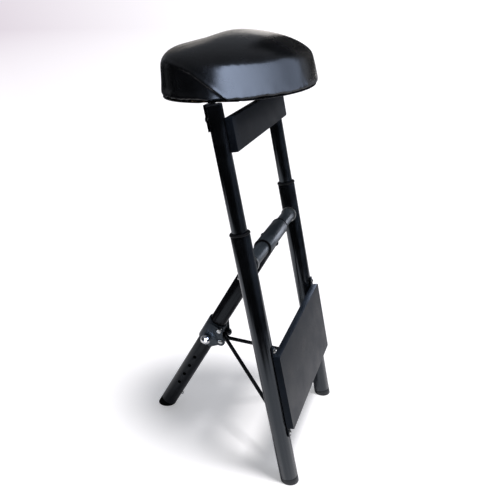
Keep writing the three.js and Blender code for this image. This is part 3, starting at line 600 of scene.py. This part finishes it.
def apply_modifiers(piece):
    """Turns a piece's modifiers into its mesh."""
    bpy.context.view_layer.update()
    graph = bpy.context.evaluated_depsgraph_get()
    mesh = bpy.data.meshes.new_from_object(piece.evaluated_get(graph))
    piece.modifiers.clear()
    piece.data = mesh


def cut_away(piece, tool, crossing=False):
    """Takes a tool's volume out of a piece; a tool may have parts that cross each other."""
    scene.collection.objects.link(tool)
    adjust(piece.modifiers.new("cut", "BOOLEAN"), operation="DIFFERENCE", solver="EXACT",
           use_self=crossing, object=tool)
    apply_modifiers(piece)
    bpy.data.objects.remove(tool)


TURN_PER_LETTER = 0.37  # radians: each screw was stopped at an angle of its own


def screw_piece(name, outward, span_mm, width_mm, depth_mm):
    """A zinc screw with a cross recess in the face that looks outward."""
    piece = new_piece(f"{name}_finished", part_mesh(name), zinc)
    reach = max(v.co.dot(outward) for v in piece.data.vertices)
    top = [v.co for v in piece.data.vertices if v.co.dot(outward) > reach - FACE_DEPTH]
    middle = sum(top, Vector()) / len(top)
    turn = outward.to_track_quat("Z", "Y").to_matrix().to_4x4() @ (
        Matrix.Rotation(len(name) * TURN_PER_LETTER, 4, "Z")
    )
    tool = bpy.data.objects.new("cross", cross_cutter(span_mm, width_mm, depth_mm))
    tool.matrix_world = Matrix.Translation(middle) @ turn
    cut_away(piece, tool, crossing=True)
    shade_smoothly(piece.data)
    round_edges(piece, 0.15)
    stand_for(piece, name)


down_from_seat = seat_to_world.to_3x3() @ Vector((0, 0, -1))
for s in sides:
    for height in ("low", "high"):
        screw_piece(f"kick_screw_{s}_{height}", out_of_legs, 4.6, 1.1, 1.6)
    screw_piece(f"{s}_bracket_bolt", -out_of_legs, 7.5, 1.6, 2.4)
    for end in ("front", "rear"):
        screw_piece(f"board_screw_{s}_{end}", down_from_seat, 4.0, 0.9, 1.2)
print("each side has 5 screws with a recess")

# %% [markdown]
# ## The cushion
# The cushion is foam glued to a plywood board, with vinyl pulled over both and stapled below. The
# vinyl bulges between the places that hold it, so the shape is a result of pressure and tension,
# and a cloth simulation finds it: the plain form is remeshed evenly, blown up a little with its
# rim held, and the result is kept. Then the places that the simulation can't know are pressed in:
# the hollow for the board, the pulled hem, and the diagonal folds of the two rear corners, where
# the spare vinyl is folded like an envelope.

# %% Sizes of the cushion
SEAT_HALF_DEPTH = 126
SEAT_HALF_WIDTH = 136
PLAN_POWER = 2.1
BOARD_THICKNESS = 12
VINYL_WRAP = 7
COVER_FRONT = 128.2
COVER_REAR = 127
COVER_SIDE = 137.2
CUSHION_WALL = 44
TAPER_FRONT = 7.4
TAPER_REAR = 2.7
TAPER_SIDE = 6.2
CROWN_POWER = 1.76
world_to_seat = seat_to_world.inverted()


def plan_measure(x_mm, y_mm):
    """1 on the seat's outline, less inside it and more outside."""
    return (abs(x_mm / SEAT_HALF_DEPTH) ** PLAN_POWER
            + abs(y_mm / SEAT_HALF_WIDTH) ** PLAN_POWER)


def plan_angle(x_mm, y_mm):
    """The angle round the seat in degrees, 0 to the front and -90 to the right."""
    half = PLAN_POWER / 2
    return math.degrees(math.atan2(
        math.copysign(abs(y_mm / SEAT_HALF_WIDTH) ** half, y_mm),
        math.copysign(abs(x_mm / SEAT_HALF_DEPTH) ** half, x_mm),
    ))


def steps_round(count):
    """The cosine and sine of equal steps round a circle."""
    angles = [2 * math.pi * step / count for step in range(count)]
    return [(math.cos(angle), math.sin(angle)) for angle in angles]


def plan_ring(inset_mm, height_mm, count=96):
    """Points of the seat's outline, drawn in, at a height above the board's underside."""
    power = 2 / PLAN_POWER
    return [Vector((
        (SEAT_HALF_DEPTH - inset_mm) * math.copysign(abs(c) ** power, c) * MM,
        (SEAT_HALF_WIDTH - inset_mm) * math.copysign(abs(s) ** power, s) * MM,
        height_mm * MM,
    )) for c, s in steps_round(count)]


def loft(rings, closed=False):
    """A mesh over rings of points: its last ring joins the first, or both ends get a face."""
    work = bmesh.new()
    rows = [[work.verts.new(point) for point in ring] for ring in rings]
    count = len(rings[0])
    for low, high in zip(rows, rows[1:] + (rows[:1] if closed else [])):
        for i in range(count):
            j = (i + 1) % count
            work.faces.new((low[i], low[j], high[j], high[i]))
    if not closed:
        work.faces.new(list(reversed(rows[0])))
        work.faces.new(rows[-1])
    bmesh.ops.recalc_face_normals(work, faces=work.faces)
    return mesh_from(work)


print("seat is", 2 * SEAT_HALF_DEPTH, "by", 2 * SEAT_HALF_WIDTH, "mm")

# %% [markdown]
# The plain form is a stack of outlines. Its wall leans in a little, more at the sides than behind,
# and above the wall the crown follows a superellipse: a power of 2 would be a plain ellipse, less
# is more pointed and more is fuller. The seat dips before its rear edge.

# %% Plain form of the cushion
CROWN_TOP = 92
REAR_FULLNESS = 0.6
FRONT_FULLNESS = -0.14
REAR_DIP = 10.5
WALL_START = 7
WALL_STEPS = 7
CROWN_STEPS = 17
COVER_SIDES = 96


def cover_ring(inset_mm, height_mm, lean=0.0):
    """The cover's outline at a height: drawn in by an inset and by a share of the wall's lean."""
    points = []
    for c, s in steps_round(COVER_SIDES):
        ends = TAPER_FRONT if c > 0 else TAPER_REAR
        drawn = inset_mm + lean * (ends * c * c + TAPER_SIDE * s * s)
        depth = COVER_FRONT if c > 0 else COVER_REAR
        points.append(Vector(((depth - drawn) * c, (COVER_SIDE - drawn) * s, height_mm)) * MM)
    return points


def cushion_rings():
    """The outline at each height: tucked below, leaning in up the wall, and round above."""
    rings = [cover_ring(4, 0.2), cover_ring(1.8, 1.8), cover_ring(0, WALL_START)]
    for step in range(1, WALL_STEPS + 1):
        share = step / WALL_STEPS
        height = WALL_START + (CUSHION_WALL - WALL_START) * share
        rings.append(cover_ring(0, height, share))
    for step in range(1, CROWN_STEPS):
        angle = math.pi / 2 * step / CROWN_STEPS
        ring = cover_ring(0, 0, 1.0)
        for point, (forward, _) in zip(ring, steps_round(COVER_SIDES)):
            rearward = max(0.0, -forward) ** 2
            power = CROWN_POWER + REAR_FULLNESS * rearward
            power += FRONT_FULLNESS * max(0.0, forward) ** 2
            spread = math.cos(angle) ** (2 / power)
            rise = math.sin(angle) ** (2 / power)
            dip = REAR_DIP * rearward * math.sin(math.pi * spread) ** 2
            point.x, point.y = point.x * spread, point.y * spread
            point.z = (CUSHION_WALL + (CROWN_TOP - CUSHION_WALL) * rise - dip) * MM
        rings.append(ring)
    return rings


cushion = new_piece("vinyl_cushion", loft(cushion_rings()), vinyl, seat_to_world)
print("cushion form has", len(cushion.data.polygons), "faces")

# %% [markdown]
# The cloth is the vinyl, the pressure is the foam's. It is held where the staples hold it, from the
# hem up to a few centimetres, and nothing may move further than the foam could push it.

# %% Blow the cushion up
VOXEL_MM = 4.5
SWELL_CAP_MM = 7
HELD_BELOW_MM = 7
HOLD_FADES_MM = 16
CLOTH_FRAMES = 20


def swell(piece):
    """Remeshes a cushion, blows it up with its base held and caps how far it moves."""
    adjust(piece.modifiers.new("even faces", "REMESH"), mode="VOXEL", voxel_size=VOXEL_MM * MM)
    apply_modifiers(piece)
    before = [v.co.copy() for v in piece.data.vertices]
    held = piece.vertex_groups.new(name="held")
    for vertex in piece.data.vertices:
        height = (world_to_seat @ vertex.co).z / MM
        weight = min(1.0, 1 - (height - HELD_BELOW_MM) / HOLD_FADES_MM)
        if weight > 0:
            held.add([vertex.index], weight, "REPLACE")
    cloth = piece.modifiers.new("pressure", "CLOTH")
    cloth.settings.effector_weights.gravity = 0
    adjust(cloth.settings, use_pressure=True, uniform_pressure_force=4, quality=6, mass=0.3,
           tension_stiffness=22, compression_stiffness=22, bending_stiffness=3,
           vertex_group_mass="held")
    cloth.collision_settings.use_collision = False
    for number in range(1, CLOTH_FRAMES + 1):
        scene.frame_set(number)
    graph = bpy.context.evaluated_depsgraph_get()
    blown = piece.evaluated_get(graph).to_mesh()
    after = [v.co.copy() for v in blown.vertices]
    piece.evaluated_get(graph).to_mesh_clear()
    piece.modifiers.clear()
    piece.vertex_groups.clear()
    farthest = 0
    for vertex, old, new in zip(piece.data.vertices, before, after):
        move = new - old
        farthest = max(farthest, move.length)
        if move.length > SWELL_CAP_MM * MM:
            move *= SWELL_CAP_MM * MM / move.length
        vertex.co = old + move
    scene.frame_set(1)
    print("the cloth moved", round(farthest / MM, 1), "mm at most")


swell(cushion)
adjust(cushion.modifiers.new("finer", "SUBSURF"), levels=1)
apply_modifiers(cushion)
print("cushion has", len(cushion.data.vertices), "points")

# %% [markdown]
# The envelope fold runs from the rear of the wall, near its top, down to the hem beside the front
# leg. Above the line the vinyl lies over; below it the cover is one layer deeper. The line is
# given as heights at angles round the seat, and the same fold is made on the other rear corner.
# Slow hand-pulled dents run up from the hem, where each staple draws the vinyl in.

# %% Folds and dents
FOLD_ANGLES = (-148, -136, -124, -113, -104, -96, -89, -83, -78)
FOLD_HEIGHTS = (59, 55, 51, 47, 41, 30, 19, 8, -1)
FOLD_STEP_MM = 1.9
FOLD_SOFT_MM = 1.3
LIP_MM = 0.9
LIP_WIDTH_MM = 2.4
HEM_PULL_MM = 1.6
STAPLE_PULL_MM = 0.8
HOLLOW_MM = 0.9
WALL_ZONE = (0.66, 0.84)  # on the outline's measure, where the top turns into the wall
FOLD_BEGINS = (74, 80)  # degrees from the front
FOLD_ENDS = (138, 148)


def fold_height(angle):
    """Height of the fold line at an angle round the seat, or None where there is no fold."""
    angle = -abs(angle)
    points = list(zip(FOLD_ANGLES, FOLD_HEIGHTS))
    for (start, first), (end, last) in zip(points, points[1:]):
        if start <= angle <= end:
            return first + (angle - start) / (end - start) * (last - first)
    return None


def smooth(value, low, high):
    """0 below low, 1 above high, and a smooth step between."""
    share = min(1.0, max(0.0, (value - low) / (high - low)))
    return share * share * (3 - 2 * share)


def press_folds(piece):
    """Presses the envelope folds, the staples' dents and slow hollows into a cushion."""
    mesh = piece.data
    normals = [v.normal.copy() for v in mesh.vertices]
    for vertex, normal in zip(mesh.vertices, normals):
        place = (world_to_seat @ vertex.co) / MM
        angle = plan_angle(place.x, place.y)
        move = 0.0
        line = fold_height(angle)
        wall = smooth(plan_measure(place.x, place.y), *WALL_ZONE)
        if line is not None and place.z > 0.8:
            below = line - place.z
            fade = smooth(abs(angle), *FOLD_BEGINS) * (1 - smooth(abs(angle), *FOLD_ENDS))
            under = smooth(below, -0.4, FOLD_SOFT_MM)
            to_hem = smooth(below, 0, 34)
            lip = LIP_MM * math.exp(-((below + LIP_WIDTH_MM) / LIP_WIDTH_MM) ** 2)
            above_board = smooth(place.z, 3, 17)
            step_in = FOLD_STEP_MM * (0.4 + 0.6 * above_board)
            step_in += HEM_PULL_MM * to_hem * above_board
            move += (lip - under * step_in) * fade * wall
        pulled = (1 - smooth(place.z, 3, 26)) * wall * STAPLE_PULL_MM
        move += pulled * noise.noise(Vector((angle * 0.16, place.z * 0.03, 4.0)))
        slow = noise.noise(Vector((place.x * 0.02, place.y * 0.02, place.z * 0.03 + 9)))
        move += HOLLOW_MM * slow * (0.4 + 0.6 * wall)
        vertex.co += normal * move * MM
    mesh.update()


press_folds(cushion)
print("pressed", len(FOLD_ANGLES), "points of fold line into both rear corners")

# %% [markdown]
# The board sits in the cushion's underside, so its room is cut out of the stuffed form with a third
# of a millimetre to spare.

# %% Hollow for the board
BOARD_SPARE = 0.35
pocket = bpy.data.objects.new("pocket", loft([
    plan_ring(VINYL_WRAP - BOARD_SPARE, height) for height in (-8, BOARD_THICKNESS + BOARD_SPARE)]))
pocket.data.transform(seat_to_world)
cut_away(cushion, pocket)
shade_smoothly(cushion.data)
cushion.data.materials.clear()
cushion.data.materials.append(vinyl)
stand_for(cushion, "seat_cushion")
print("cushion finished with", len(cushion.data.polygons), "faces")

# %% [markdown]
# The upper tubes end just outside the cushion's rim. Such tube ends are closed with a thin black
# cap, slightly domed, so that nobody scratches a hand on a cut edge.

# %% Caps on the tube tops
CAP_PROFILE = (  # radius and height above the tube's end
    (UPPER_RADIUS - 0.1, 0.02), (UPPER_RADIUS - 0.1, 0.3), (UPPER_RADIUS - 0.7, 0.6),
    (8.0, 0.75), (3.0, 0.8),
)


def circle(centre, turn, radius_mm, height_mm, corners):
    """Points on a circle that lies across a turned +Z axis."""
    return [centre + turn @ Vector((radius_mm * c, radius_mm * s, height_mm)) * MM
            for c, s in steps_round(corners)]


def add_trim(name, mesh, material, body, place=None):
    """A small piece that stands for no part of the model."""
    piece = new_piece(name, mesh, material, place)
    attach(piece, body)
    print(name, "has", len(mesh.polygons), "faces")


leg_up = legs_to_world.to_3x3() @ Vector((0, 0, 1))
for s in sides:
    tube = frame["nodes"][f"{s}_upper_tube"].data
    top = max(v.co.dot(leg_up) for v in tube.vertices)
    rim = [v.co for v in tube.vertices if v.co.dot(leg_up) > top - FACE_DEPTH]
    centre = sum(rim, Vector()) / len(rim)
    turn = leg_up.to_track_quat("Z", "Y")
    rings = [circle(centre, turn, radius, height, 40) for radius, height in CAP_PROFILE]
    add_trim(f"{s}_tube_cap", loft(rings), nylon, "seat_frame")

# %% [markdown]
# ## The hem below the board
# Under the board the vinyl is turned in and stapled every 22 mm or so. The hem is a thin flat
# band with small pleats. It lies below the board and goes thin under the two steel brackets,
# which are screwed on over it.

# %% Hem
HEM_SIDES = 192
HEM_THICK_MM = 1.2
BRACKET_INNER = (88, 97)  # millimetres from the seat's middle, where a bracket begins
BRACKET_REAR = (-20, -12)
BRACKET_FRONT = (41, 49)


def near_bracket(x_mm, y_mm):
    """1 over and close to a bracket, 0 well away from both."""
    along = smooth(x_mm, *BRACKET_REAR) * (1 - smooth(x_mm, *BRACKET_FRONT))
    return along * smooth(abs(y_mm), *BRACKET_INNER)


HEM_SECTION = (  # inset from the outline, share of the thickness below the board
    (3.4, -0.8), (2.0, 0.1), (2.6, 0.8), (5.0, 1.0), (9.0, 1.0), (20.0, 1.0), (34.0, 1.0),
    (45.0, 0.9), (46.5, 0.45), (46.0, 0.05), (8.0, 0.05),
)


def hem_rows():
    """Rings of the band's section: rolled outer rim, flat band, ragged inner edge and back."""
    rows = []
    for inset, share in HEM_SECTION:
        ring = []
        for i, point in enumerate(plan_ring(inset, 0, HEM_SIDES)):
            x, y = point.x / MM, point.y / MM
            if inset > 40:
                ragged = 1 + 0.025 * noise.noise(Vector((x * 0.07, y * 0.07, 2.0)))
                x, y = x * ragged, y * ragged
            thin = near_bracket(x, y)
            pleat = 0.45 * max(0.0, noise.noise(Vector((i * 0.45, inset * 0.05, 1.0))))
            depth = (HEM_THICK_MM + pleat) * (1 - thin) + 0.2 * thin
            ring.append(Vector((x * MM, y * MM, -(depth * share + 0.02) * MM)))
        rows.append(ring)
    return rows


add_trim("vinyl_hem", loft(hem_rows(), closed=True), vinyl, "seat_frame", seat_to_world)

# %% [markdown]
# A black dust cloth closes the middle, so that no bare wood shows. It is thin felted fabric that
# sags a little between its edges, and the hem lies over its edge.

# %% Dust cloth
CLOTH_SAG_MM = 0.7
CLOTH_EDGE_MM = 41
CLOTH_RINGS = 11
CLOTH_STEP_MM = 7.2


def cloth_ring(inset_mm, drop_mm):
    """A ring of the cloth, sagging in slow waves."""
    ring = []
    for point in plan_ring(inset_mm, 0, HEM_SIDES):
        wave = noise.noise(Vector((point.x * 18, point.y * 18, 3.0)))
        ring.append(Vector((point.x, point.y, -(drop_mm + 0.25 * drop_mm * wave) * MM)))
    return ring


cloth_rings = [cloth_ring(CLOTH_EDGE_MM, 0.02)]
for step in range(CLOTH_RINGS):
    sag = CLOTH_SAG_MM * math.sin(math.pi / 2 * (step + 1) / CLOTH_RINGS)
    cloth_rings.append(cloth_ring(CLOTH_EDGE_MM + CLOTH_STEP_MM * step, 0.4 + sag))
add_trim("dust_cloth", loft(cloth_rings), felt, "seat_frame", seat_to_world)

# %% [markdown]
# The staples are bent wire, 10 mm wide, and one piece here. Each one lies along the seat's edge, a
# little askew as a hand-held stapler sets it, and none is set where the brackets lie.

# %% Staples
STAPLE_EVERY = 6
STAPLE_INSET_MM = 14.5
STAPLE_SIZE = Matrix.Diagonal((10 * MM, 1.1 * MM, 0.6 * MM, 1))
STAPLE_DEPTH_MM = 1.35
staple_work = bmesh.new()
staple_points = plan_ring(STAPLE_INSET_MM, 0, HEM_SIDES)
for i in range(0, HEM_SIDES, STAPLE_EVERY):
    here, after = staple_points[i], staple_points[(i + 1) % HEM_SIDES]
    if near_bracket(here.x / MM, here.y / MM) > 0:
        continue
    heading = math.atan2(after.y - here.y, after.x - here.x) + 0.12 * math.sin(i * 2.3)
    made = bmesh.ops.create_cube(staple_work, size=1)["verts"]
    place = Matrix.Translation((here.x, here.y, -STAPLE_DEPTH_MM * MM))
    turned = place @ Matrix.Rotation(heading, 4, "Z")
    bmesh.ops.transform(staple_work, matrix=turned @ STAPLE_SIZE, verts=made)
bmesh.ops.bevel(staple_work, geom=staple_work.edges[:], offset=0.18 * MM, segments=2,
                affect="EDGES")
add_trim("hem_staples", mesh_from(staple_work), zinc, "seat_frame", seat_to_world)

# %% [markdown]
# ## Weld beads
# The rear leg is welded to the sleeve on the crossbar, and the plate under the seat to its tubes. A
# weld shows as a small rippled fillet in the corner where two parts meet, under the same coat of
# powder. Each bead is a thin tube that swells and narrows along the real corner.


# %% Beads along a path
BEAD_CORNERS = 10
RIPPLE = 0.18
END_SHARE = 0.35


def bead(name, points, radius_mm, material, body, closed=False):
    """A rippled weld bead along points in metres."""
    rings = []
    last = len(points) - 1
    for i, point in enumerate(points):
        before = points[i - 1] if closed or i > 0 else point
        after = points[(i + 1) % len(points)] if closed or i < last else point
        turn = (after - before).normalized().to_track_quat("Z", "Y")
        size = radius_mm * (1 + RIPPLE * math.sin(i * 2.1))
        if not closed and i in (0, last):
            size *= END_SHARE
        rings.append(circle(point, turn, size, 0, BEAD_CORNERS))
    add_trim(name, loft(rings, closed), material, body)


REAR_RADIUS = 16
SLEEVE_RADIUS = 15.8
SADDLE_POINTS = 64
saddle = []
for c, s in steps_round(SADDLE_POINTS):
    x, y = REAR_RADIUS * c, REAR_RADIUS * s
    depth = math.sqrt(max(SLEEVE_RADIUS ** 2 - x ** 2, 34)) + 0.3
    saddle.append(rear_to_world @ Vector((x * MM, y * MM, -depth * MM)))
bead("sleeve_weld", saddle, 1.9, rear_coat_painted_light, "rear_leg", closed=True)
for s, sign in zip(sides, (1, -1)):
    for label, along in (("low", 612), ("high", 647)):
        line = [
            legs_to_world @ (MM * Vector((
                UPPER_RADIUS + 0.3, sign * (LEG_SPACING / 2 - 3.4), along - 8 + step)))
            for step in range(17)
        ]
        bead(f"upper_plate_weld_{s}_{label}", line, 1.3, front_tube_coat, "seat_frame")

# %% [markdown]
# ## Floor
# The stool stands on white paper that runs out of sight. In the photograph the paper is exposed to
# pure white, and only the soft shadow under the seat is darker. The floor is therefore a plain
# matt surface whose own brightness is lifted for the camera until it just reaches white, so that
# the shadow keeps its depth. Far to the rear left, the camera sees a painted shade instead: a glow
# of faint purplish grey that stands for the paper falling off into dimmer light.
# Shiny parts see a small sheet only, with the dark studio beyond it.

# %% White paper
LIFT_SEEN = 0.33
# A painted shade: the faint purplish grey that the paper and the background show far to the rear
# left.
PAINTED_CORNER_SHADE = "#e1d8e1"
HALF_FLOOR = 40.0


def joined(tree, operation, result, *others):
    """Outputs joined by an operation, such as their product or the largest one."""
    for other in others:
        result = node(tree, "Math", None, {0: result, 1: other},
                      operation=operation).outputs["Value"]
    return result


def rear_left_share(tree, x, y):
    """1 towards the rear left and 0 elsewhere, for a direction or a place on the floor."""
    flat = node(tree, "CombineXYZ", None, {0: x, 1: y}).outputs["Vector"]
    towards = node(tree, "VectorMath", None, {0: flat}, operation="NORMALIZE")
    facing = node(tree, "VectorMath", {1: (-1.0, -0.5, 0.0)},
                  {0: towards.outputs["Vector"]}, operation="DOT_PRODUCT")
    return remap(tree, facing.outputs["Value"], -0.2, 0.28, 0.0, 1.0), flat


floor_material, tree = bare_material("white_paper")
place = node(tree, "TexCoord").outputs["Object"]
spot = node(tree, "SeparateXYZ", None, {0: place}).outputs
path = node(tree, "LightPath").outputs
paper = node(tree, "BsdfDiffuse", {"Color": colour("#f0eff2")})
lift = node(tree, "Math", {1: LIFT_SEEN}, {0: path["Is Camera Ray"]},
            operation="MULTIPLY")
glow = node(tree, "Emission", {"Color": colour("#ffffff")},
            {"Strength": lift.outputs["Value"]})
lit = node(tree, "AddShader", None,
           {0: paper.outputs["BSDF"], 1: glow.outputs["Emission"]})

corner_share, flat = rear_left_share(tree, spot["X"], spot["Y"])
distance = node(tree, "VectorMath", None, {0: flat}, operation="LENGTH")
far = remap(tree, distance.outputs["Value"], 1.0, 9.0, 0.0, 1.0)
fade = joined(tree, "MULTIPLY", corner_share, far, path["Is Camera Ray"])
# Painted shade: far to the rear left the camera sees this purplish glow in place of the lit paper.
shade = node(tree, "Emission", {"Color": colour(PAINTED_CORNER_SHADE), "Strength": 1.0})
seen_paper = node(tree, "MixShader", None, {
    0: fade, 1: lit.outputs["Shader"], 2: shade.outputs["Emission"]})

past_front = remap(tree, spot["Y"], -0.8, -0.45, 1.0, 0.0)
past_left = remap(tree, spot["X"], -1.3, -0.7, 1.0, 0.0)
far_back = remap(tree, spot["Y"], 0.35, 1.3, 0.0, 0.9)
beyond = joined(tree, "MAXIMUM", past_front, past_left, far_back)
dark_room = node(tree, "BsdfTransparent")
sheet_of_paper = node(tree, "MixShader", None, {
    0: joined(tree, "MULTIPLY", beyond, path["Is Glossy Ray"]),
    1: seen_paper.outputs["Shader"], 2: dark_room.outputs["BSDF"]})
node(tree, "OutputMaterial", links={"Surface": sheet_of_paper.outputs["Shader"]})

floor_mesh = bpy.data.meshes.new("floor")
corners = [(x * HALF_FLOOR, y * HALF_FLOOR, 0) for x, y in ((-1, -1), (1, -1), (1, 1), (-1, 1))]
floor_mesh.from_pydata(corners, [], [(0, 1, 2, 3)])
floor = new_piece("floor", floor_mesh, floor_material)
floor.location.z = -0.0002
print("floor", 2 * HALF_FLOOR, "m square")

# %% [markdown]
# ## Light
# The shadow lies almost straight below the seat and is soft, so the main light is a broad one
# overhead, a little to the front right. It is so wide in the real studio that the seat shows no
# image of it, so here it lights without being mirrored. Faint streaks that run to the left tell of
# a second, weaker light from the right, at half height. A third lamp lights only the plated screws,
# washers and knob, which sparkle in the photograph, and a fourth one lies behind and gives the
# crossbar and its sleeve the pale stripe along their front side.


# %% Lamps
def wide_lamp(name, towards, strength, width_degrees, tint, mirrored):
    """A distant wide light that comes from a direction."""
    light = adjust(bpy.data.lights.new(name, "SUN"), energy=strength,
                   angle=math.radians(width_degrees), color=colour(tint)[:3])
    lamp = adjust(bpy.data.objects.new(name, light), rotation_mode="QUATERNION",
                  rotation_quaternion=Vector(towards).to_track_quat("Z", "Y"),
                  visible_glossy=mirrored)
    scene.collection.objects.link(lamp)
    return lamp


wide_lamp("overhead_light", (0.18, -0.06, 1.0), 2.3, 12, "#fffdfb", False)
wide_lamp("side_light", (0.5, -0.03, 1.0), 0.36, 20, "#f4f7ff", False)
glint = wide_lamp("glint_light", (0.25, -0.75, 0.75), 1.6, 34, "#ffffff", True)
stripe = wide_lamp("crossbar_light", (0.45, 0.89, 0.02), 0.9, 36, "#eef2ff", True)


def only_for(source, pieces):
    """Lets a lamp or a glowing sheet light some pieces only."""
    group = bpy.data.collections.new(f"{source.name}_receivers")
    for piece in pieces:
        group.objects.link(piece)
    source.light_linking.receiver_collection = group


def finished(*names):
    """The dressed pieces of some parts."""
    return [bpy.data.objects[f"{name}_finished"] for name in names]


def pieces_in(*materials):
    """All pieces that are made in one of the materials."""
    return [piece for piece in scene.objects
            if piece.type == "MESH" and set(piece.data.materials) & set(materials)]


only_for(glint, pieces_in(zinc, chrome))
only_for(stripe, finished(*hinge_parts))
print("lamps set")

# %% [markdown]
# ## The window
# What a dark glossy thing shows is mostly its surroundings. The seat's wall mirrors a bright bluish
# window, which reaches from the front round to the right. The tubes show only a dim stripe on the
# right. The seat's top edge mirrors a pale strip behind. Curved sheets that glow give these
# images: a bright one in front and the pale one behind for the seat, a high one for the kick
# plate's upper bend, and a small one on the right for the tubes. The knob sees the bright one too.


# %% Curved windows
SHEET_STEPS = 24


def window_sheet(first, last, low, high, distance):
    """A curved sheet round the stool between two directions, with a share from first to last."""
    work = bmesh.new()
    share = work.verts.layers.float.new("share_along")
    rows = []
    for step in range(SHEET_STEPS + 1):
        part = step / SHEET_STEPS
        angle = math.radians(first + (last - first) * part)
        across = Vector((math.cos(angle), math.sin(angle), 0)) * distance
        row = []
        for height in (low, high):
            vertex = work.verts.new(across + Vector((0, 0, height)))
            vertex[share] = part
            row.append(vertex)
        rows.append(row)
    for left_row, right_row in zip(rows, rows[1:]):
        work.faces.new((left_row[0], left_row[1], right_row[1], right_row[0]))
    return mesh_from(work)


def window(name, directions, heights, distance, begin_glow, end_glow, tint, receivers):
    """A glowing sheet that only the reflections in some pieces see; directions in degrees."""
    glowing, tree = bare_material(f"{name}_glow")
    part = node(tree, "Attribute", attribute_name="share_along").outputs["Fac"]
    fade_in = remap(tree, part, 0.0, 0.05, 0.0, 1.0)
    power = remap(tree, part, 0.15, 0.8, begin_glow, end_glow)
    bright = node(tree, "Emission", {"Color": colour(tint)},
                  {"Strength": joined(tree, "MULTIPLY", fade_in, power)})
    node(tree, "OutputMaterial", links={"Surface": bright.outputs["Emission"]})
    sheet = new_piece(name, window_sheet(*directions, *heights, distance), glowing)
    adjust(sheet, visible_camera=False, visible_diffuse=False, visible_shadow=False)
    only_for(sheet, receivers)


window("front_window", (-101, 34), (-0.15, 2.4), 1.5, 11.5, 2.9, "#c6d6f4",
       [cushion] + finished("pull_knob"))
window("right_window", (-36, 26), (0.3, 0.9), 1.6, 9.0, 9.0, "#cfdcf6",
       pieces_in(front_tube_coat))
window("rear_strip", (132, 66), (0.55, 1.5), 2.2, 0.3, 4.4, "#f1ece8", [cushion])
window("edge_window", (100, 50), (0.6, 3.0), 1.6, 9.0, 9.0, "#cfdcf6", finished("kick_plate"))
print("windows set")

# %% [markdown]
# ## The room
# Besides the windows, the parts see a pale backdrop low behind the stool, a dim ceiling, and
# darkness elsewhere. The camera itself sees white, with the same painted shade of purplish grey
# low towards the rear left.

# %% Surroundings
world = bpy.data.worlds.new("studio")
scene.world = world
world.use_nodes = True
room = world.node_tree
room.nodes.clear()
heading = node(room, "TexCoord").outputs["Generated"]
axes = node(room, "SeparateXYZ", None, {0: heading}).outputs
behind = remap(room, axes["Y"], 0.2, 0.85, 0.0, 1.0)
low_behind = joined(room, "MULTIPLY", remap(room, axes["Z"], 0.1, 0.34, 0.6, 0.24),
                    remap(room, axes["Z"], -0.1, 0.0, 0.3, 1.0))
rightness = remap(room, axes["X"], -0.55, 0.35, 0.5, 1.3)
backdrop = joined(room, "MULTIPLY", behind, low_behind, rightness)
ceiling = remap(room, axes["Z"], 0.1, 0.9, 0.005, 0.22)
surroundings = node(room, "Background", {"Color": colour("#e3e8f4")},
                    {"Strength": joined(room, "ADD", backdrop, ceiling)})
# The same painted shade low towards the rear left, for the camera.
corner_shade_share = rear_left_share(room, axes["X"], axes["Y"])[0]
horizon = joined(room, "MULTIPLY", corner_shade_share, remap(room, axes["Z"], 0.0, 0.2, 1.0, 0.0))
white = node(room, "Background", {"Strength": 1.0},
             {"Color": blend_colours(room, horizon, "#ffffff", PAINTED_CORNER_SHADE)})
chosen = node(room, "MixShader", None, {
    0: node(room, "LightPath").outputs["Is Camera Ray"],
    1: surroundings.outputs["Background"], 2: white.outputs["Background"]})
node(room, "OutputWorld", links={"Surface": chosen.outputs["Shader"]})
scene.view_settings.view_transform = "Standard"
print("room set")
